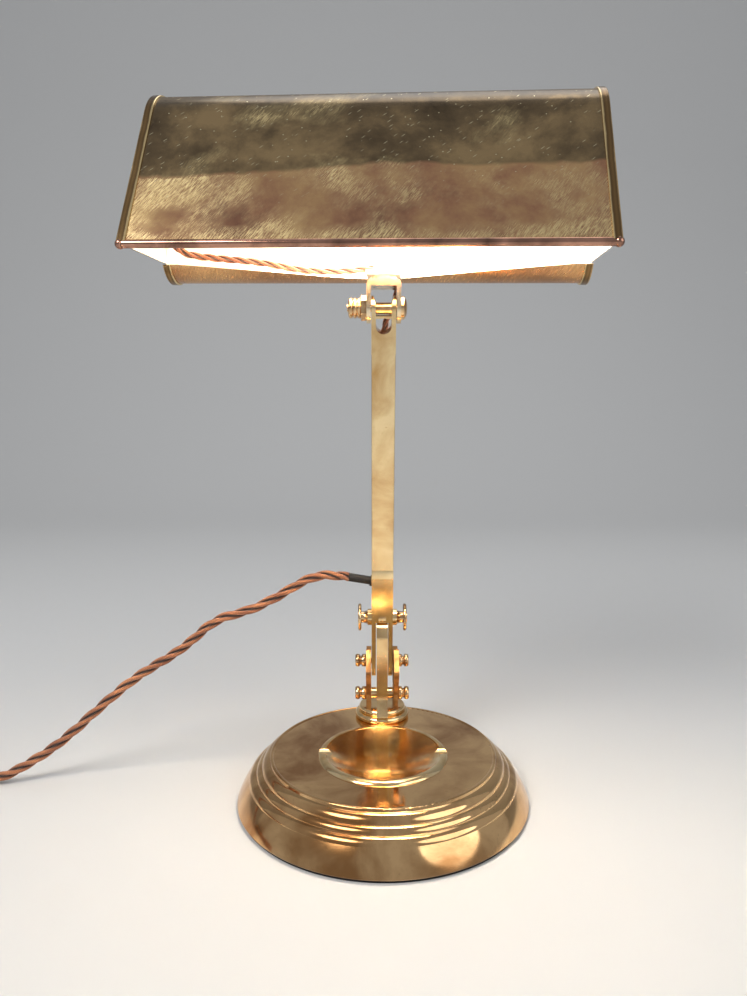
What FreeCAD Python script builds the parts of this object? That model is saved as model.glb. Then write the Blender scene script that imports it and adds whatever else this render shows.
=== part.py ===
import FreeCAD, Part
import math
import os

V = FreeCAD.Vector

# Sizes are in millimetres. The origin is the middle of the felt's underside,
# +Z is up, and the user sits on the -Y side.

# Base: a stepped brass shell over an iron weight, on felt
base_radius = 82.5
felt_thickness = 1.7
felt_inset = 1.3
shell_wall = 1.5
plate_height = 26.8
roll_width = 10.6
roll_top = 17.8
shoulder_width = 4.1
shoulder_drop = 3.6
roll_bulge = 0.4
lower_ring_width = 3.2
lower_ring_top = 21.0
upper_ring_width = 4.4
upper_ring_top = 25.6
bead_width = 2.4
bead_rise = 0.5
cover_thickness = 2.0
cover_gap = 1.6
weight_radius = 68.0
weight_top = 15.0
weight_boss_radius = 11.0
cover_screw_radius = 2.0
cover_screw_circle = 52.0
cover_screw_length = 9.0
cover_screw_count = 3

# Tray for pins and ash, sunk into the top of the base
tray_radius = 36.7
tray_rim_height = 1.9
tray_rim_width = 4.8
tray_sheet = 1.0
tray_depth = 4.0
tray_floor_radius = 4.0
tray_lip = 0.5
tray_opening_margin = 3.3
tray_rest_radius = 5.0
tray_rest_floor = 0.3
tray_foot_gap = 0.5
tray_stud_radius = 2.5
tray_nut_height = 4.0
tray_nut_flats = 8.0

# Foot casting: two round steps and an upright web
foot_inset = 12.4
step_radius = 16.9
step_height = 4.2
upper_step_radius = 14.6
upper_step_height = 3.6
web_thickness = 6.8
web_half_depth = 11.0
web_end_radius = 6.0
foot_stud_radius = 4.0
foot_stud_grip = 6.0
foot_nut_height = 6.4
foot_nut_flats = 13.0
foot_recess_ceiling = 12.0

# Elbow at the top of the web
elbow_height = 90.8
elbow_bolt_radius = 3.0
elbow_boss_radius = 5.1
elbow_boss_length = 2.5
thumb_disc_radius = 8.5
thumb_disc_thickness = 2.0
thumb_neck_radius = 4.4
thumb_neck_length = 3.9

# Cheek plates beside the fork, with an arc slot centred on the elbow
cheek_thickness = 3.0
cheek_inner_radius = 22.5
cheek_outer_radius = 40.5
cheek_front_degrees = 50.0
cheek_back_degrees = 22.5
cheek_foot_width = 20.0
cheek_waist_height = 44.0
cheek_corner = 2.0
cheek_sink = 1.5
slot_radius = 32.0
slot_front_degrees = 33.0
slot_back_degrees = 16.3
slot_play = 0.3
slot_stud_radius = 2.0
cheek_bolt_height = 41.5
cheek_bolt_radius = 2.5
cheek_spacer_radius = 3.5
spool_radius = 4.1
spool_neck_radius = 2.9
spool_length = 7.0
spool_neck_length = 1.4

# Stem: a square tube between a lower fork and an upper fork
stem_lean = 15.0
stem_width = 13.1
stem_wall = 1.2
stem_edge = 0.8
fork_depth = 15.0
fork_side_play = 0.5
fork_leg_length = 42.4
fork_shoulder = 30.0
fork_top = 36.0
spigot_length = 14.0
spigot_play = 0.1
relief_width = 4.6
relief_height = 5.0
back_relief = 2.4
head_seam = 166.0
head_axis_rise = 23.5
head_slot_width = 8.3
head_saddle_drop = 3.3
head_bar = 1.3
head_window_rise = 10.8
ear_tip = 0.7
ear_slope_start = 2.6

# The lead inside the stem, out through a slot at the back and up behind the stirrup
lead_radius = 2.0
lead_bore_radius = 3.2
lead_bend = 3.4
lead_gap = 0.3
lead_slot_width = 4.8
lead_slot_length = 16.0
lead_slot_drop = 24.4
lead_step_start = 11.8
lead_step_length = 15.0
lead_side = 1.5

# Where the mains lead comes in
inlet_along = 25.8
inlet_slant = 10.0
inlet_depth = 3.0
bush_wall = 0.8
bush_proud = 0.9
sleeve_length = 14.2
sleeve_wall = 0.5

# Stirrup over the upper fork
stirrup_wall = 2.2
stirrup_depth = 16.0
stirrup_corner = 3.0
stirrup_rise = 14.2
stirrup_bar = 3.6
tilt_bolt_radius = 2.0
tilt_head_radius = 6.0
tilt_head_thickness = 3.2
tilt_spacer_radius = 2.95
tilt_nut_flats = 11.4
tilt_nut_height = 2.9
tilt_thumb_radius = 5.4
tilt_thumb_length = 6.7
tilt_thumb_groove = 0.8

# Countersunk swivel screw, up through the stirrup
swivel_radius = 3.0
swivel_head_radius = 5.6
swivel_washer_radius = 7.0
swivel_washer = 2.0
swivel_nut_flats = 9.0
swivel_nut_height = 2.5
swivel_end = 0.6
swivel_play = 0.2
swivel_fit = 0.08

# Shade: one folded sheet with a flat front, a round ridge and a rear gutter
shade_length = 229.0
shade_sheet = 1.0
shade_offset_x = -5.5
shade_yaw = -4.4
shade_roll = 0.64
front_reach = 60.4
front_edge_drop = 9.7
ridge_y = 3.6
ridge_rise = 48.6
ridge_radius = 27.5
gutter_radius = 16.4
gutter_seat = 0.1
lip_angle = 212.0
lip_bow = 6.4
lip_bow_middle = 30.0
lip_bow_half_length = 106.0
end_plate_thickness = 1.0
end_plate_inset = 0.8
wrap_width = 4.3
wrap_thickness = 0.9
bead_radius = 2.0
bead_proud = 0.7
ball_radius = 2.4
bridge_width = 18.0
bridge_front = 7.0
bridge_thickness = 2.5
bridge_screw_radius = 1.5
bridge_screw_spacing = 10.0
bridge_nut_height = 2.0
small_head_radius = 2.8
small_head_height = 1.6
eyelet_x = 12.0
eyelet_y = 20.5
eyelet_wall = 0.8
eyelet_height = 2.0

# Lampholder and lamp, on a bracket near the left end
bulb_y = -4.0
bulb_drop = 14.1
bracket_from_end = 20.0
bracket_sheet = 1.5
bracket_height = 26.0
bracket_front = 14.0
bracket_flange = 11.0
bracket_rivet_spacing = 12.0
entry_radius = 5.0
entry_bore = 3.3
entry_tail = 4.0
entry_nose = 3.0
holder_wall = 1.2
holder_cap_length = 15.0
holder_cap_radius = 14.0
holder_cap_back_radius = 8.0
holder_body_radius = 12.6
holder_body_end = 44.0
holder_thread_length = 5.0
holder_ring_radius = 15.5
holder_ring_start = 22.0
holder_ring_length = 6.0
insert_end = 24.0
plunger_radius = 1.7
plunger_spacing = 11.0
plunger_start = 17.0
switch_bar_along = 7.0
switch_bar_back = 6.6
switch_bar_radius = 2.2
switch_bar_length = 38.0
switch_button_radius = 3.4
switch_button_length = 3.0
switch_travel = 4.0
bulb_cap_radius = 11.0
bulb_cap_start = 27.4
bulb_cap_end = 51.0
bulb_pin_along = 34.0
bulb_pin_radius = 1.0
bulb_pin_reach = 13.1
glass_radius = 14.0
glass_wall = 0.8
glass_neck_radius = 9.5
glass_end = 172.0
filament_ring_radius = 5.0
filament_ring_thickness = 1.5
filament_rod_radius = 0.5
filament_rod_count = 6
filament_stem_radius = 2.0
filament_start = 66.0
filament_end = 156.0

# Mains lead, its coil and its plug
cord_radius = 3.0
coil_middle_x = -277.0
coil_back_y = 10.5
coil_middle_radius = 34.5
coil_pitch = 6.6
coil_layer_turns = 3.25
coil_tail = 28.0
plug_length = 49.0
plug_width = 50.0
plug_cover_height = 12.5
plug_base_height = 8.0
plug_corner = 9.0
relief_length = 22.0
relief_radius = 5.6
pin_spacing = 22.2
pin_width = 6.35
pin_thickness = 4.0
pin_length = 17.7
earth_pin_width = 8.0
earth_pin_length = 22.7
pin_setback = 14.0

# Running clearances between pieces that turn, and gaps at threads and faces
running_gap = 0.05
face_gap = 0.1
leg_gap = 0.35

half_stem = stem_width / 2
web_half = web_thickness / 2
fork_slot_half = web_half + fork_side_play
cheek_inner = half_stem + leg_gap
stirrup_inner = half_stem + leg_gap
stirrup_outer = stirrup_inner + stirrup_wall
cheek_outer = cheek_inner + cheek_thickness
plate_underside = plate_height - shell_wall
ring_edge = base_radius - roll_width
upper_edge = ring_edge - lower_ring_width
groove_edge = upper_edge - upper_ring_width
plate_radius = groove_edge - bead_width
foot_y = plate_radius - foot_inset
tray_y = foot_y - step_radius - tray_foot_gap - tray_radius
cover_top = felt_thickness + cover_thickness
step_top = plate_height + step_height
collar_top = step_top + upper_step_height
tray_rim_top = plate_height + tray_rim_height
tray_floor = plate_height - tray_depth
tilt_axis_along = head_seam + head_axis_rise
lead_offset = half_stem + lead_radius + lead_gap
lead_slot_along = head_seam - lead_slot_drop
half_shade = shade_length / 2


def line(a, b):
    return Part.LineSegment(a, b).toShape()


def arc(a, middle, b):
    return Part.Arc(a, middle, b).toShape()


def outline(moves, place):
    """A closed wire. Each move is a point to go to, or a pair: a point to pass and the point to reach."""
    start = moves[0]
    here = start
    edges = []
    for move in moves[1:]:
        if isinstance(move[0], tuple):
            edges.append(arc(place(*here), place(*move[0]), place(*move[1])))
            here = move[1]
        else:
            edges.append(line(place(*here), place(*move)))
            here = move
    if here != start:
        edges.append(line(place(*here), place(*start)))
    return Part.Wire(edges)


def turned(moves, x=0.0, y=0.0):
    """Turn an outline of (radius, height) points about an upright axis."""
    wire = outline(moves, lambda r, z: V(x + r, y, z))
    return Part.Face(wire).revolve(V(x, y, 0), V(0, 0, 1), 360)


def turned_across(moves, y, z):
    """Turn an outline of (x, radius) points about an axis along X."""
    wire = outline(moves, lambda x, r: V(x, y, z + r))
    return Part.Face(wire).revolve(V(0, y, z), V(1, 0, 0), 360)


def side_plate(moves, x0, x1):
    """An outline of (y, z) points given a thickness along X."""
    wire = outline(moves, lambda y, z: V(x0, y, z))
    return Part.Face(wire).extrude(V(x1 - x0, 0, 0))


def front_plate(moves, y0, y1):
    """An outline of (x, z) points given a thickness along Y."""
    wire = outline(moves, lambda x, z: V(x, y0, z))
    return Part.Face(wire).extrude(V(0, y1 - y0, 0))


def block(x0, x1, y0, y1, z0, z1):
    return Part.makeBox(x1 - x0, y1 - y0, z1 - z0, V(x0, y0, z0))


def upright(radius, z0, z1, x=0.0, y=0.0):
    return Part.makeCylinder(radius, z1 - z0, V(x, y, z0))


def across(radius, x0, x1, y, z):
    return Part.makeCylinder(radius, x1 - x0, V(x0, y, z), V(1, 0, 0))


def along_y(radius, y0, y1, x, z):
    return Part.makeCylinder(radius, y1 - y0, V(x, y0, z), V(0, 1, 0))


def hexagon(flats, start, direction, height):
    """A six-sided prism, with two of its flats facing the user where it lies across."""
    corner = flats / math.sqrt(3)
    side = V(0, 0, 1) if abs(direction.z) < 0.5 else V(1, 0, 0)
    other = direction.cross(side)
    corners = []
    for i in range(6):
        turn = math.radians(60 * i)
        corners.append(start + side * (corner * math.cos(turn)) + other * (corner * math.sin(turn)))
    return Part.Face(Part.makePolygon(corners + corners[:1])).extrude(direction * height)


def mirrored(shape):
    return shape.mirror(V(0, 0, 0), V(1, 0, 0))


def round_path(points, share=0.45, tightest=None):
    """Straight runs joined by tangent arcs. Gives the wire and the radius of each arc.

    An arc takes a share of the shorter run beside it, or keeps to the tightest radius where one is given.
    """
    edges = []
    radii = []
    here = points[0]
    for before, corner, after in zip(points, points[1:], points[2:]):
        a = (before - corner).normalize()
        b = (after - corner).normalize()
        turn = math.pi - a.getAngle(b)
        cut = share * min((before - corner).Length, (after - corner).Length)
        if tightest:
            cut = min(cut, tightest * math.tan(turn / 2))
        radius = cut / math.tan(turn / 2)
        inward = (a + b).normalize()
        centre = corner + inward * (radius / math.cos(turn / 2))
        start = corner + a * cut
        edges.append(line(here, start))
        edges.append(arc(start, centre - inward * radius, corner + b * cut))
        radii.append(radius)
        here = corner + b * cut
    edges.append(line(here, points[-1]))
    return Part.Wire(edges), radii


def tube_along(wire, radius):
    """A round solid along a wire."""
    first = wire.OrderedEdges[0]
    start = first.valueAt(first.FirstParameter)
    toward = first.tangentAt(first.FirstParameter)
    ring = Part.Wire([Part.Circle(start, toward, radius).toShape()])
    return wire.makePipeShell([ring], True, False)


def leaned(shape):
    """From the stem's own upright pose to the pose in use, turned about the elbow."""
    turned_shape = shape.copy()
    turned_shape.rotate(V(0, foot_y, elbow_height), V(1, 0, 0), stem_lean)
    return turned_shape


def lean_point(y, along, x=0.0):
    """A point of the stem, given behind its middle and along it from the elbow, in the pose in use."""
    turn = math.radians(stem_lean)
    return V(
        x,
        foot_y + y * math.cos(turn) - along * math.sin(turn),
        elbow_height + y * math.sin(turn) + along * math.cos(turn),
    )


tilt_axis = lean_point(0, tilt_axis_along)
stirrup_top = tilt_axis.z + stirrup_rise
bridge_bottom = stirrup_top + swivel_washer + swivel_play
gutter_height = bridge_bottom + gutter_radius - shade_sheet - gutter_seat
ridge_height = gutter_height + ridge_rise
front_edge_height = gutter_height - front_edge_drop
bulb_height = ridge_height - bulb_drop


def hung(shape):
    """From the shade's own square pose to the pose in use on the swivel."""
    placed = shape.copy()
    placed.translate(V(shade_offset_x, tilt_axis.y, 0))
    placed.rotate(V(0, tilt_axis.y, bridge_bottom + bridge_thickness / 2), V(0, 1, 0), shade_roll)
    placed.rotate(V(0, tilt_axis.y, 0), V(0, 0, 1), shade_yaw)
    return placed


def ring_crest(start, end):
    """A point to pass on a rounded step that starts level and ends steep."""
    return (start[0] + 0.62 * (end[0] - start[0]), start[1] + 0.31 * (end[1] - start[1]))


def base_shell():
    """Two rounded steps and a sloping skirt round a flat plate, all of one sheet."""
    groove = (groove_edge, upper_ring_top)
    upper_end = (upper_edge, lower_ring_top)
    lower_end = (ring_edge, roll_top)
    shoulder = (ring_edge + shoulder_width, roll_top - shoulder_drop)
    hem = (base_radius, felt_thickness + 0.5)
    skirt = ((shoulder[0] + hem[0]) / 2 + roll_bulge, (shoulder[1] + hem[1]) / 2 + 0.5 * roll_bulge)
    moves = [
        (base_radius - 0.3, felt_thickness),
        hem,
        (skirt, shoulder),
        (ring_crest(lower_end, shoulder), lower_end),
        (ring_crest(upper_end, lower_end), upper_end),
        (ring_crest(groove, upper_end), groove),
        (groove_edge - 0.15 * bead_width, plate_height),
        ((groove_edge - 0.55 * bead_width, plate_height + bead_rise), (plate_radius, plate_height)),
        (tray_hole_radius(), plate_height),
        (tray_hole_radius(), plate_underside),
        (groove_edge - shell_wall, plate_underside),
        (ring_edge - 1.5 * shell_wall, roll_top - 0.5 * shell_wall),
        (shoulder[0] - shell_wall, shoulder[1] - 0.5 * shell_wall),
        (base_radius - 1.4 * shell_wall, felt_thickness),
    ]
    whole = turned(moves)
    opening = upright(tray_hole_radius(), plate_underside - 1, plate_height + 1, 0, tray_y)
    plate = upright(plate_radius, plate_underside, plate_height).cut(opening)
    hole = upright(foot_stud_radius + running_gap, 0, plate_height + 1, 0, foot_y)
    return whole.fuse(plate).removeSplitter().cut(opening).cut(hole)


def tray_hole_radius():
    return tray_radius - tray_opening_margin


def weight():
    z0 = cover_top
    body = upright(weight_radius, z0, weight_top)
    body = body.fuse(upright(weight_boss_radius, z0, plate_underside, 0, foot_y))
    body = body.fuse(upright(weight_boss_radius, z0, tray_floor - tray_sheet, 0, tray_y))
    body = body.cut(upright(foot_stud_radius + running_gap, 0, plate_height, 0, foot_y))
    body = body.cut(upright(foot_nut_flats / math.sqrt(3) + 1, 0, foot_recess_ceiling, 0, foot_y))
    body = body.cut(upright(tray_stud_radius + running_gap, 0, plate_height, 0, tray_y))
    ceiling = z0 + tray_nut_height + 1.2
    body = body.cut(upright(tray_nut_flats / math.sqrt(3) + 1, 0, ceiling, 0, tray_y))
    for x, y in cover_screw_places():
        hole = upright(cover_screw_radius + running_gap, 0, felt_thickness + cover_screw_length + 0.5, x, y)
        body = body.cut(hole)
    return body


def cover_screw_places():
    turn = 2 * math.pi / cover_screw_count
    return [(cover_screw_circle * math.cos(i * turn), cover_screw_circle * math.sin(i * turn))
            for i in range(cover_screw_count)]


def cover_screw(x, y):
    head = cover_screw_radius * 1.8
    z0 = felt_thickness
    moves = [
        (0, z0),
        (head, z0),
        (cover_screw_radius, z0 + head - cover_screw_radius),
        (cover_screw_radius, z0 + cover_screw_length),
        (0, z0 + cover_screw_length),
    ]
    return turned(moves, x, y)


def base_cover():
    radius = base_radius - 1.4 * shell_wall - cover_gap
    disc = upright(radius, felt_thickness, cover_top)
    for x, y in cover_screw_places():
        disc = disc.cut(cover_screw(x, y))
    return disc


def cover_screws():
    return Part.makeCompound([cover_screw(x, y) for x, y in cover_screw_places()])


def felt():
    return upright(base_radius - felt_inset, 0, felt_thickness)


def tray():
    """A bowl with a low rounded rim on the plate, and a stud that runs down through the weight."""
    r = tray_radius
    inner = r - tray_rim_width
    top = tray_rim_top
    bottom = cover_top + 0.6
    reach, rise = inner - tray_floor_radius, top - tray_lip - tray_floor
    bend = (reach ** 2 + rise ** 2) / (2 * rise)
    inside = math.asin(reach / bend)
    outside = math.acos((tray_floor + bend - plate_height) / (bend + tray_sheet))

    def bowl(radius, turn):
        return (tray_floor_radius + radius * math.sin(turn), tray_floor + bend - radius * math.cos(turn))

    under = bend + tray_sheet
    moves = [
        (0, tray_floor),
        (tray_floor_radius, tray_floor),
        (bowl(bend, inside / 2), bowl(bend, inside)),
        ((inner + 0.38 * tray_rim_width, top), (r, plate_height)),
        bowl(under, outside),
        (bowl(under, outside / 2), bowl(under, 0)),
        (tray_stud_radius, tray_floor - tray_sheet),
        (tray_stud_radius, bottom),
        (0, bottom),
    ]
    body = turned(moves, 0, tray_y)
    rest = across(tray_rest_radius, -r - 1, r + 1, tray_y, plate_height + tray_rest_floor + tray_rest_radius)
    return body.cut(rest)


def nut(flats, bore, start, direction, height):
    body = hexagon(flats, start, direction, height)
    hole = Part.makeCylinder(bore, height + 2, start - direction, direction)
    return body.cut(hole)


def tray_nut():
    z0 = cover_top + 1.2
    return nut(tray_nut_flats, tray_stud_radius + running_gap, V(0, tray_y, z0), V(0, 0, 1), tray_nut_height)


def foot_stud():
    return upright(foot_stud_radius, cover_top + 0.3, plate_height + foot_stud_grip, 0, foot_y)


def foot_nut():
    start = V(0, foot_y, foot_recess_ceiling - foot_nut_height)
    return nut(foot_nut_flats, foot_stud_radius + running_gap, start, V(0, 0, 1), foot_nut_height)


def web():
    """The upright web: wide at the collar, straight, and rounded about the elbow."""
    y, z = foot_y, elbow_height
    d, e = web_half_depth, web_end_radius
    turn = math.radians(20)
    side = (e * math.cos(turn), -e * math.sin(turn))
    moves = [
        (y - step_radius + 0.5, plate_height + 0.6),
        (y - step_radius + 0.5, step_top + 0.6),
        ((y - d - 1.3, step_top + 6.5), (y - d, step_top + 14)),
        (y - d, z - 12.5),
        ((y - d + 1.3, z - 6.4), (y - side[0], z + side[1])),
        ((y, z + e), (y + side[0], z + side[1])),
        ((y + d - 1.3, z - 6.4), (y + d, z - 12.5)),
        (y + d, collar_top + 4),
        ((y + d + 0.6, collar_top + 1.4), (y + d + 2, collar_top)),
        (y + d + 2, plate_height + 0.6),
    ]
    return side_plate(moves, -web_half, web_half)


def foot_casting():
    moves = [
        (0, plate_height),
        (step_radius - 1.5, plate_height),
        ((step_radius, plate_height + step_height / 2), (step_radius - 1.5, step_top)),
        (upper_step_radius - 0.6, step_top),
        ((upper_step_radius, step_top + upper_step_height / 2), (upper_step_radius - 1, collar_top)),
        (0, collar_top),
    ]
    body = turned(moves, 0, foot_y).fuse(web())
    body = body.common(upright(plate_radius - face_gap, 0, elbow_height + 20))
    for side in (-1, 1):
        x0, x1 = sorted((side * cheek_inner, side * cheek_outer))
        half = cheek_foot_width / 2
        seat = block(x0, x1, foot_y - half, foot_y + half, collar_top - cheek_sink, collar_top + 1)
        body = body.cut(seat)
    hole = foot_stud_radius + running_gap
    body = body.cut(upright(hole, 0, plate_height + foot_stud_grip + 0.3, 0, foot_y))
    reach = web_half + 1
    body = body.cut(across(elbow_bolt_radius + running_gap, -reach, reach, foot_y, elbow_height))
    body = body.cut(across(cheek_bolt_radius + running_gap, -reach, reach, foot_y, cheek_bolt_height))
    return body


def about_elbow(radius, degrees):
    """A point in the side view at a radius below the elbow, turned away from straight down."""
    turn = math.radians(degrees)
    return (foot_y + radius * math.sin(turn), elbow_height - radius * math.cos(turn))


def cheek_plate():
    """The right-hand plate."""
    half = cheek_foot_width / 2
    bottom = collar_top - cheek_sink
    moves = [
        (foot_y - half, bottom),
        (foot_y - half, cheek_waist_height),
        about_elbow(cheek_outer_radius, -cheek_front_degrees),
        about_elbow(cheek_inner_radius, -cheek_front_degrees),
        (about_elbow(cheek_inner_radius, 0), about_elbow(cheek_inner_radius, cheek_back_degrees)),
        about_elbow(cheek_outer_radius, cheek_back_degrees),
        (foot_y + half, cheek_waist_height),
        (foot_y + half, bottom),
    ]
    body = side_plate(moves, cheek_inner, cheek_outer)
    corners = []
    for edge in body.Edges:
        middle = edge.CenterOfMass
        runs_across = abs(edge.Vertexes[0].X - edge.Vertexes[-1].X) > cheek_thickness / 2
        if runs_across and middle.z > cheek_waist_height + 1:
            corners.append(edge)
    body = body.makeFillet(cheek_corner, corners)
    wide = slot_stud_radius + slot_play
    low, high = slot_radius - wide, slot_radius + wide
    front, back = -slot_front_degrees, slot_back_degrees
    ends = [about_elbow(slot_radius, front), about_elbow(slot_radius, back)]
    slot = side_plate(
        [
            about_elbow(low, front),
            (about_elbow(low, 0), about_elbow(low, back)),
            about_elbow(high, back),
            (about_elbow(high, 0), about_elbow(high, front)),
        ],
        cheek_inner - 1,
        cheek_outer + 1,
    )
    for y, z in ends:
        slot = slot.fuse(across(wide, cheek_inner - 1, cheek_outer + 1, y, z))
    hole = across(cheek_bolt_radius + running_gap, cheek_inner - 1, cheek_outer + 1, foot_y, cheek_bolt_height)
    return body.cut(slot).cut(hole)


def spool(bore, y, z, start):
    """A knurled nut like a cotton reel, on the right, with its bore along X."""
    r, n = spool_radius, spool_neck_radius
    end = start + spool_length
    neck = start + (spool_length - spool_neck_length) / 2
    moves = [
        (start, bore),
        (start, r - 0.3),
        ((start + 0.5 * (neck - start), r), (neck, r - 0.3)),
        ((neck + spool_neck_length / 2, n), (neck + spool_neck_length, r - 0.3)),
        ((end - 0.5 * (neck - start), r), (end, r - 0.6)),
        (end, bore),
    ]
    return turned_across(moves, y, z)


def cheek_bolt():
    reach = cheek_outer + spool_length
    return across(cheek_bolt_radius, -reach, reach, foot_y, cheek_bolt_height)


def cheek_spacers():
    right = across(cheek_spacer_radius, web_half, cheek_inner, foot_y, cheek_bolt_height)
    right = right.cut(across(cheek_bolt_radius + running_gap, 0, cheek_inner + 1, foot_y, cheek_bolt_height))
    return Part.makeCompound([mirrored(right), right])


def cheek_nuts():
    right = spool(cheek_bolt_radius + running_gap, foot_y, cheek_bolt_height, cheek_outer)
    return Part.makeCompound([mirrored(right), right])


def stem_place(along):
    return elbow_height + along


def inlet_point(out):
    """A point of the slanted lead inlet, by its distance out from the stem's left side, in the upright pose."""
    turn = math.radians(inlet_slant)
    return V(-half_stem - out * math.cos(turn), foot_y, stem_place(inlet_along) + out * math.sin(turn))


def inlet_rod(radius, near, far):
    """A round rod on the inlet's slanted line, between two distances out from the stem's side."""
    start, end = inlet_point(near), inlet_point(far)
    return Part.makeCylinder(radius, far - near, start, (end - start).normalize())


def sleeve_radius():
    return lead_radius + running_gap + sleeve_wall


def bush_radius():
    return sleeve_radius() + running_gap + bush_wall


def stem_fork():
    """The lower fork, in the stem's upright pose."""
    y, w = foot_y, half_stem
    deep = fork_depth / 2
    end = stem_place(-fork_leg_length)
    moves = [
        (y - deep, end + deep),
        (y - deep, stem_place(fork_shoulder)),
        ((y - deep + 0.15, stem_place((fork_shoulder + fork_top) / 2)), (y - w, stem_place(fork_top))),
        (y + w, stem_place(fork_top)),
        ((y + deep - 0.15, stem_place((fork_shoulder + fork_top) / 2)), (y + deep, stem_place(fork_shoulder))),
        (y + deep, end + deep),
        ((y, end), (y - deep, end + deep)),
    ]
    body = side_plate(moves, -w, w)
    for side in (-1, 1):
        x0, x1 = sorted((side * w, side * (w + elbow_boss_length)))
        body = body.fuse(across(elbow_boss_radius, x0, x1, y, elbow_height))
    plug = w - stem_wall - spigot_play
    plug_end = stem_place(fork_top + spigot_length)
    body = body.fuse(block(-plug, plug, y - plug, y + plug, stem_place(fork_top), plug_end))
    slot = block(-fork_slot_half, fork_slot_half, y - deep - 1, y + deep + 1, end - 1, elbow_height)
    slot = slot.fuse(across(web_end_radius + 0.5, -fork_slot_half, fork_slot_half, y, elbow_height))
    body = body.cut(slot)
    reach = w + elbow_boss_length + 1
    body = body.cut(across(elbow_bolt_radius + running_gap, -reach, reach, y, elbow_height))
    body = body.cut(across(slot_stud_radius + running_gap, -reach, reach, y, stem_place(-slot_radius)))
    relief = relief_width / 2
    front, behind = y - deep - 1, y + deep + 1
    body = body.cut(block(-relief, relief, front, behind, elbow_height, elbow_height + relief_height))
    half = fork_slot_half
    body = body.cut(block(-half, half, y + 1, behind, elbow_height - 1, elbow_height + back_relief))
    body = body.cut(inlet_rod(bush_radius() + running_gap, -inlet_depth - lead_bore_radius, 5))
    low = inlet_point(-half_stem).z - lead_bore_radius
    bore = upright(lead_bore_radius, low, plug_end + 1, 0, y)
    return leaned(body.cut(bore))


def stem_tube():
    w = half_stem
    z0, z1 = stem_place(fork_top), stem_place(head_seam)
    body = block(-w, w, foot_y - w, foot_y + w, z0, z1)
    edges = [e for e in body.Edges if abs(e.Vertexes[0].Z - e.Vertexes[1].Z) > 1]
    body = body.makeFillet(stem_edge, edges)
    i = w - stem_wall
    body = body.cut(block(-i, i, foot_y - i, foot_y + i, z0 - 1, z1 + 1))
    half = lead_slot_width / 2
    low = stem_place(lead_slot_along) - lead_slot_length / 2 + half
    high = low + lead_slot_length - lead_slot_width
    back, behind = foot_y + i - 1, foot_y + w + 1
    slot = block(-half, half, back, behind, low, high)
    for z in (low, high):
        slot = slot.fuse(along_y(half, back, behind, 0, z))
    return leaned(body.cut(slot))


def stem_head():
    """The upper fork, in the stem's upright pose: a plug, a block with a window, and two rounded ears."""
    y, w = foot_y, half_stem
    axis = stem_place(tilt_axis_along)
    seam = stem_place(head_seam)
    moves = [
        (y - w, seam),
        (y - w, axis),
        ((y, axis + w), (y + w, axis)),
        (y + w, seam),
    ]
    body = side_plate(moves, -w, w)
    plug = w - stem_wall - spigot_play
    body = body.fuse(block(-plug, plug, y - plug, y + plug, seam - spigot_length, seam))
    half = head_slot_width / 2
    front, behind = y - w - 1, y + w + 1
    saddle = axis - head_saddle_drop
    top = axis + w + 1
    between_ears = [
        (-half, saddle),
        (half, saddle),
        (half, axis + ear_slope_start),
        (w - ear_tip, top),
        (ear_tip - w, top),
        (-half, axis + ear_slope_start),
    ]
    body = body.cut(front_plate(between_ears, front, behind))
    bottom = seam + head_window_rise + half
    body = body.cut(block(-half, half, front, behind, bottom, saddle - head_bar))
    body = body.cut(along_y(half, front, behind, 0, bottom))
    return leaned(body.cut(across(tilt_bolt_radius + running_gap, -w - 1, w + 1, y, axis)))


def elbow_bolt():
    """A bolt with a broad thin head on the left, so that the fingers can turn it."""
    boss = half_stem + elbow_boss_length
    neck_end = boss + thumb_neck_length
    disc_end = neck_end + thumb_disc_thickness
    tip = disc_end + 0.5
    r = thumb_disc_radius
    moves = [
        (-disc_end, 0),
        (-disc_end, r - 0.6),
        ((-disc_end + thumb_disc_thickness / 2, r), (-neck_end, r - 0.6)),
        (-neck_end, thumb_neck_radius - 0.8),
        ((-boss - 0.6 * thumb_neck_length, thumb_neck_radius - 0.8), (-boss, thumb_neck_radius)),
        (-boss, elbow_bolt_radius),
        (tip, elbow_bolt_radius),
        (tip, 0),
    ]
    return leaned(turned_across(moves, foot_y, elbow_height))


def elbow_thumb_nut():
    boss = half_stem + elbow_boss_length + face_gap
    neck_end = boss + thumb_neck_length
    disc_end = neck_end + thumb_disc_thickness
    bore = elbow_bolt_radius + running_gap
    r = thumb_disc_radius
    moves = [
        (boss, bore),
        (boss, thumb_neck_radius),
        ((boss + 0.6 * thumb_neck_length, thumb_neck_radius - 0.8), (neck_end, thumb_neck_radius - 0.8)),
        (neck_end, r - 0.6),
        ((disc_end - thumb_disc_thickness / 2, r), (disc_end, r - 0.6)),
        (disc_end, bore),
    ]
    return leaned(turned_across(moves, foot_y, elbow_height))


def slot_studs():
    z = stem_place(-slot_radius)
    reach = cheek_outer + spool_length + face_gap
    right = across(slot_stud_radius, fork_slot_half, reach, foot_y, z)
    return leaned(Part.makeCompound([mirrored(right), right]))


def slot_nut(side):
    body = spool(slot_stud_radius + running_gap, foot_y, stem_place(-slot_radius), cheek_outer + face_gap)
    return leaned(body if side > 0 else mirrored(body))


def cord_bush():
    body = inlet_rod(bush_radius(), -inlet_depth, bush_proud)
    return leaned(body.cut(inlet_rod(sleeve_radius() + running_gap, -inlet_depth - 1, bush_proud + 1)))


def cord_sleeve():
    body = inlet_rod(sleeve_radius(), -inlet_depth, sleeve_length)
    return leaned(body.cut(inlet_rod(lead_radius + running_gap, -inlet_depth - 1, sleeve_length + 1)))


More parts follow.
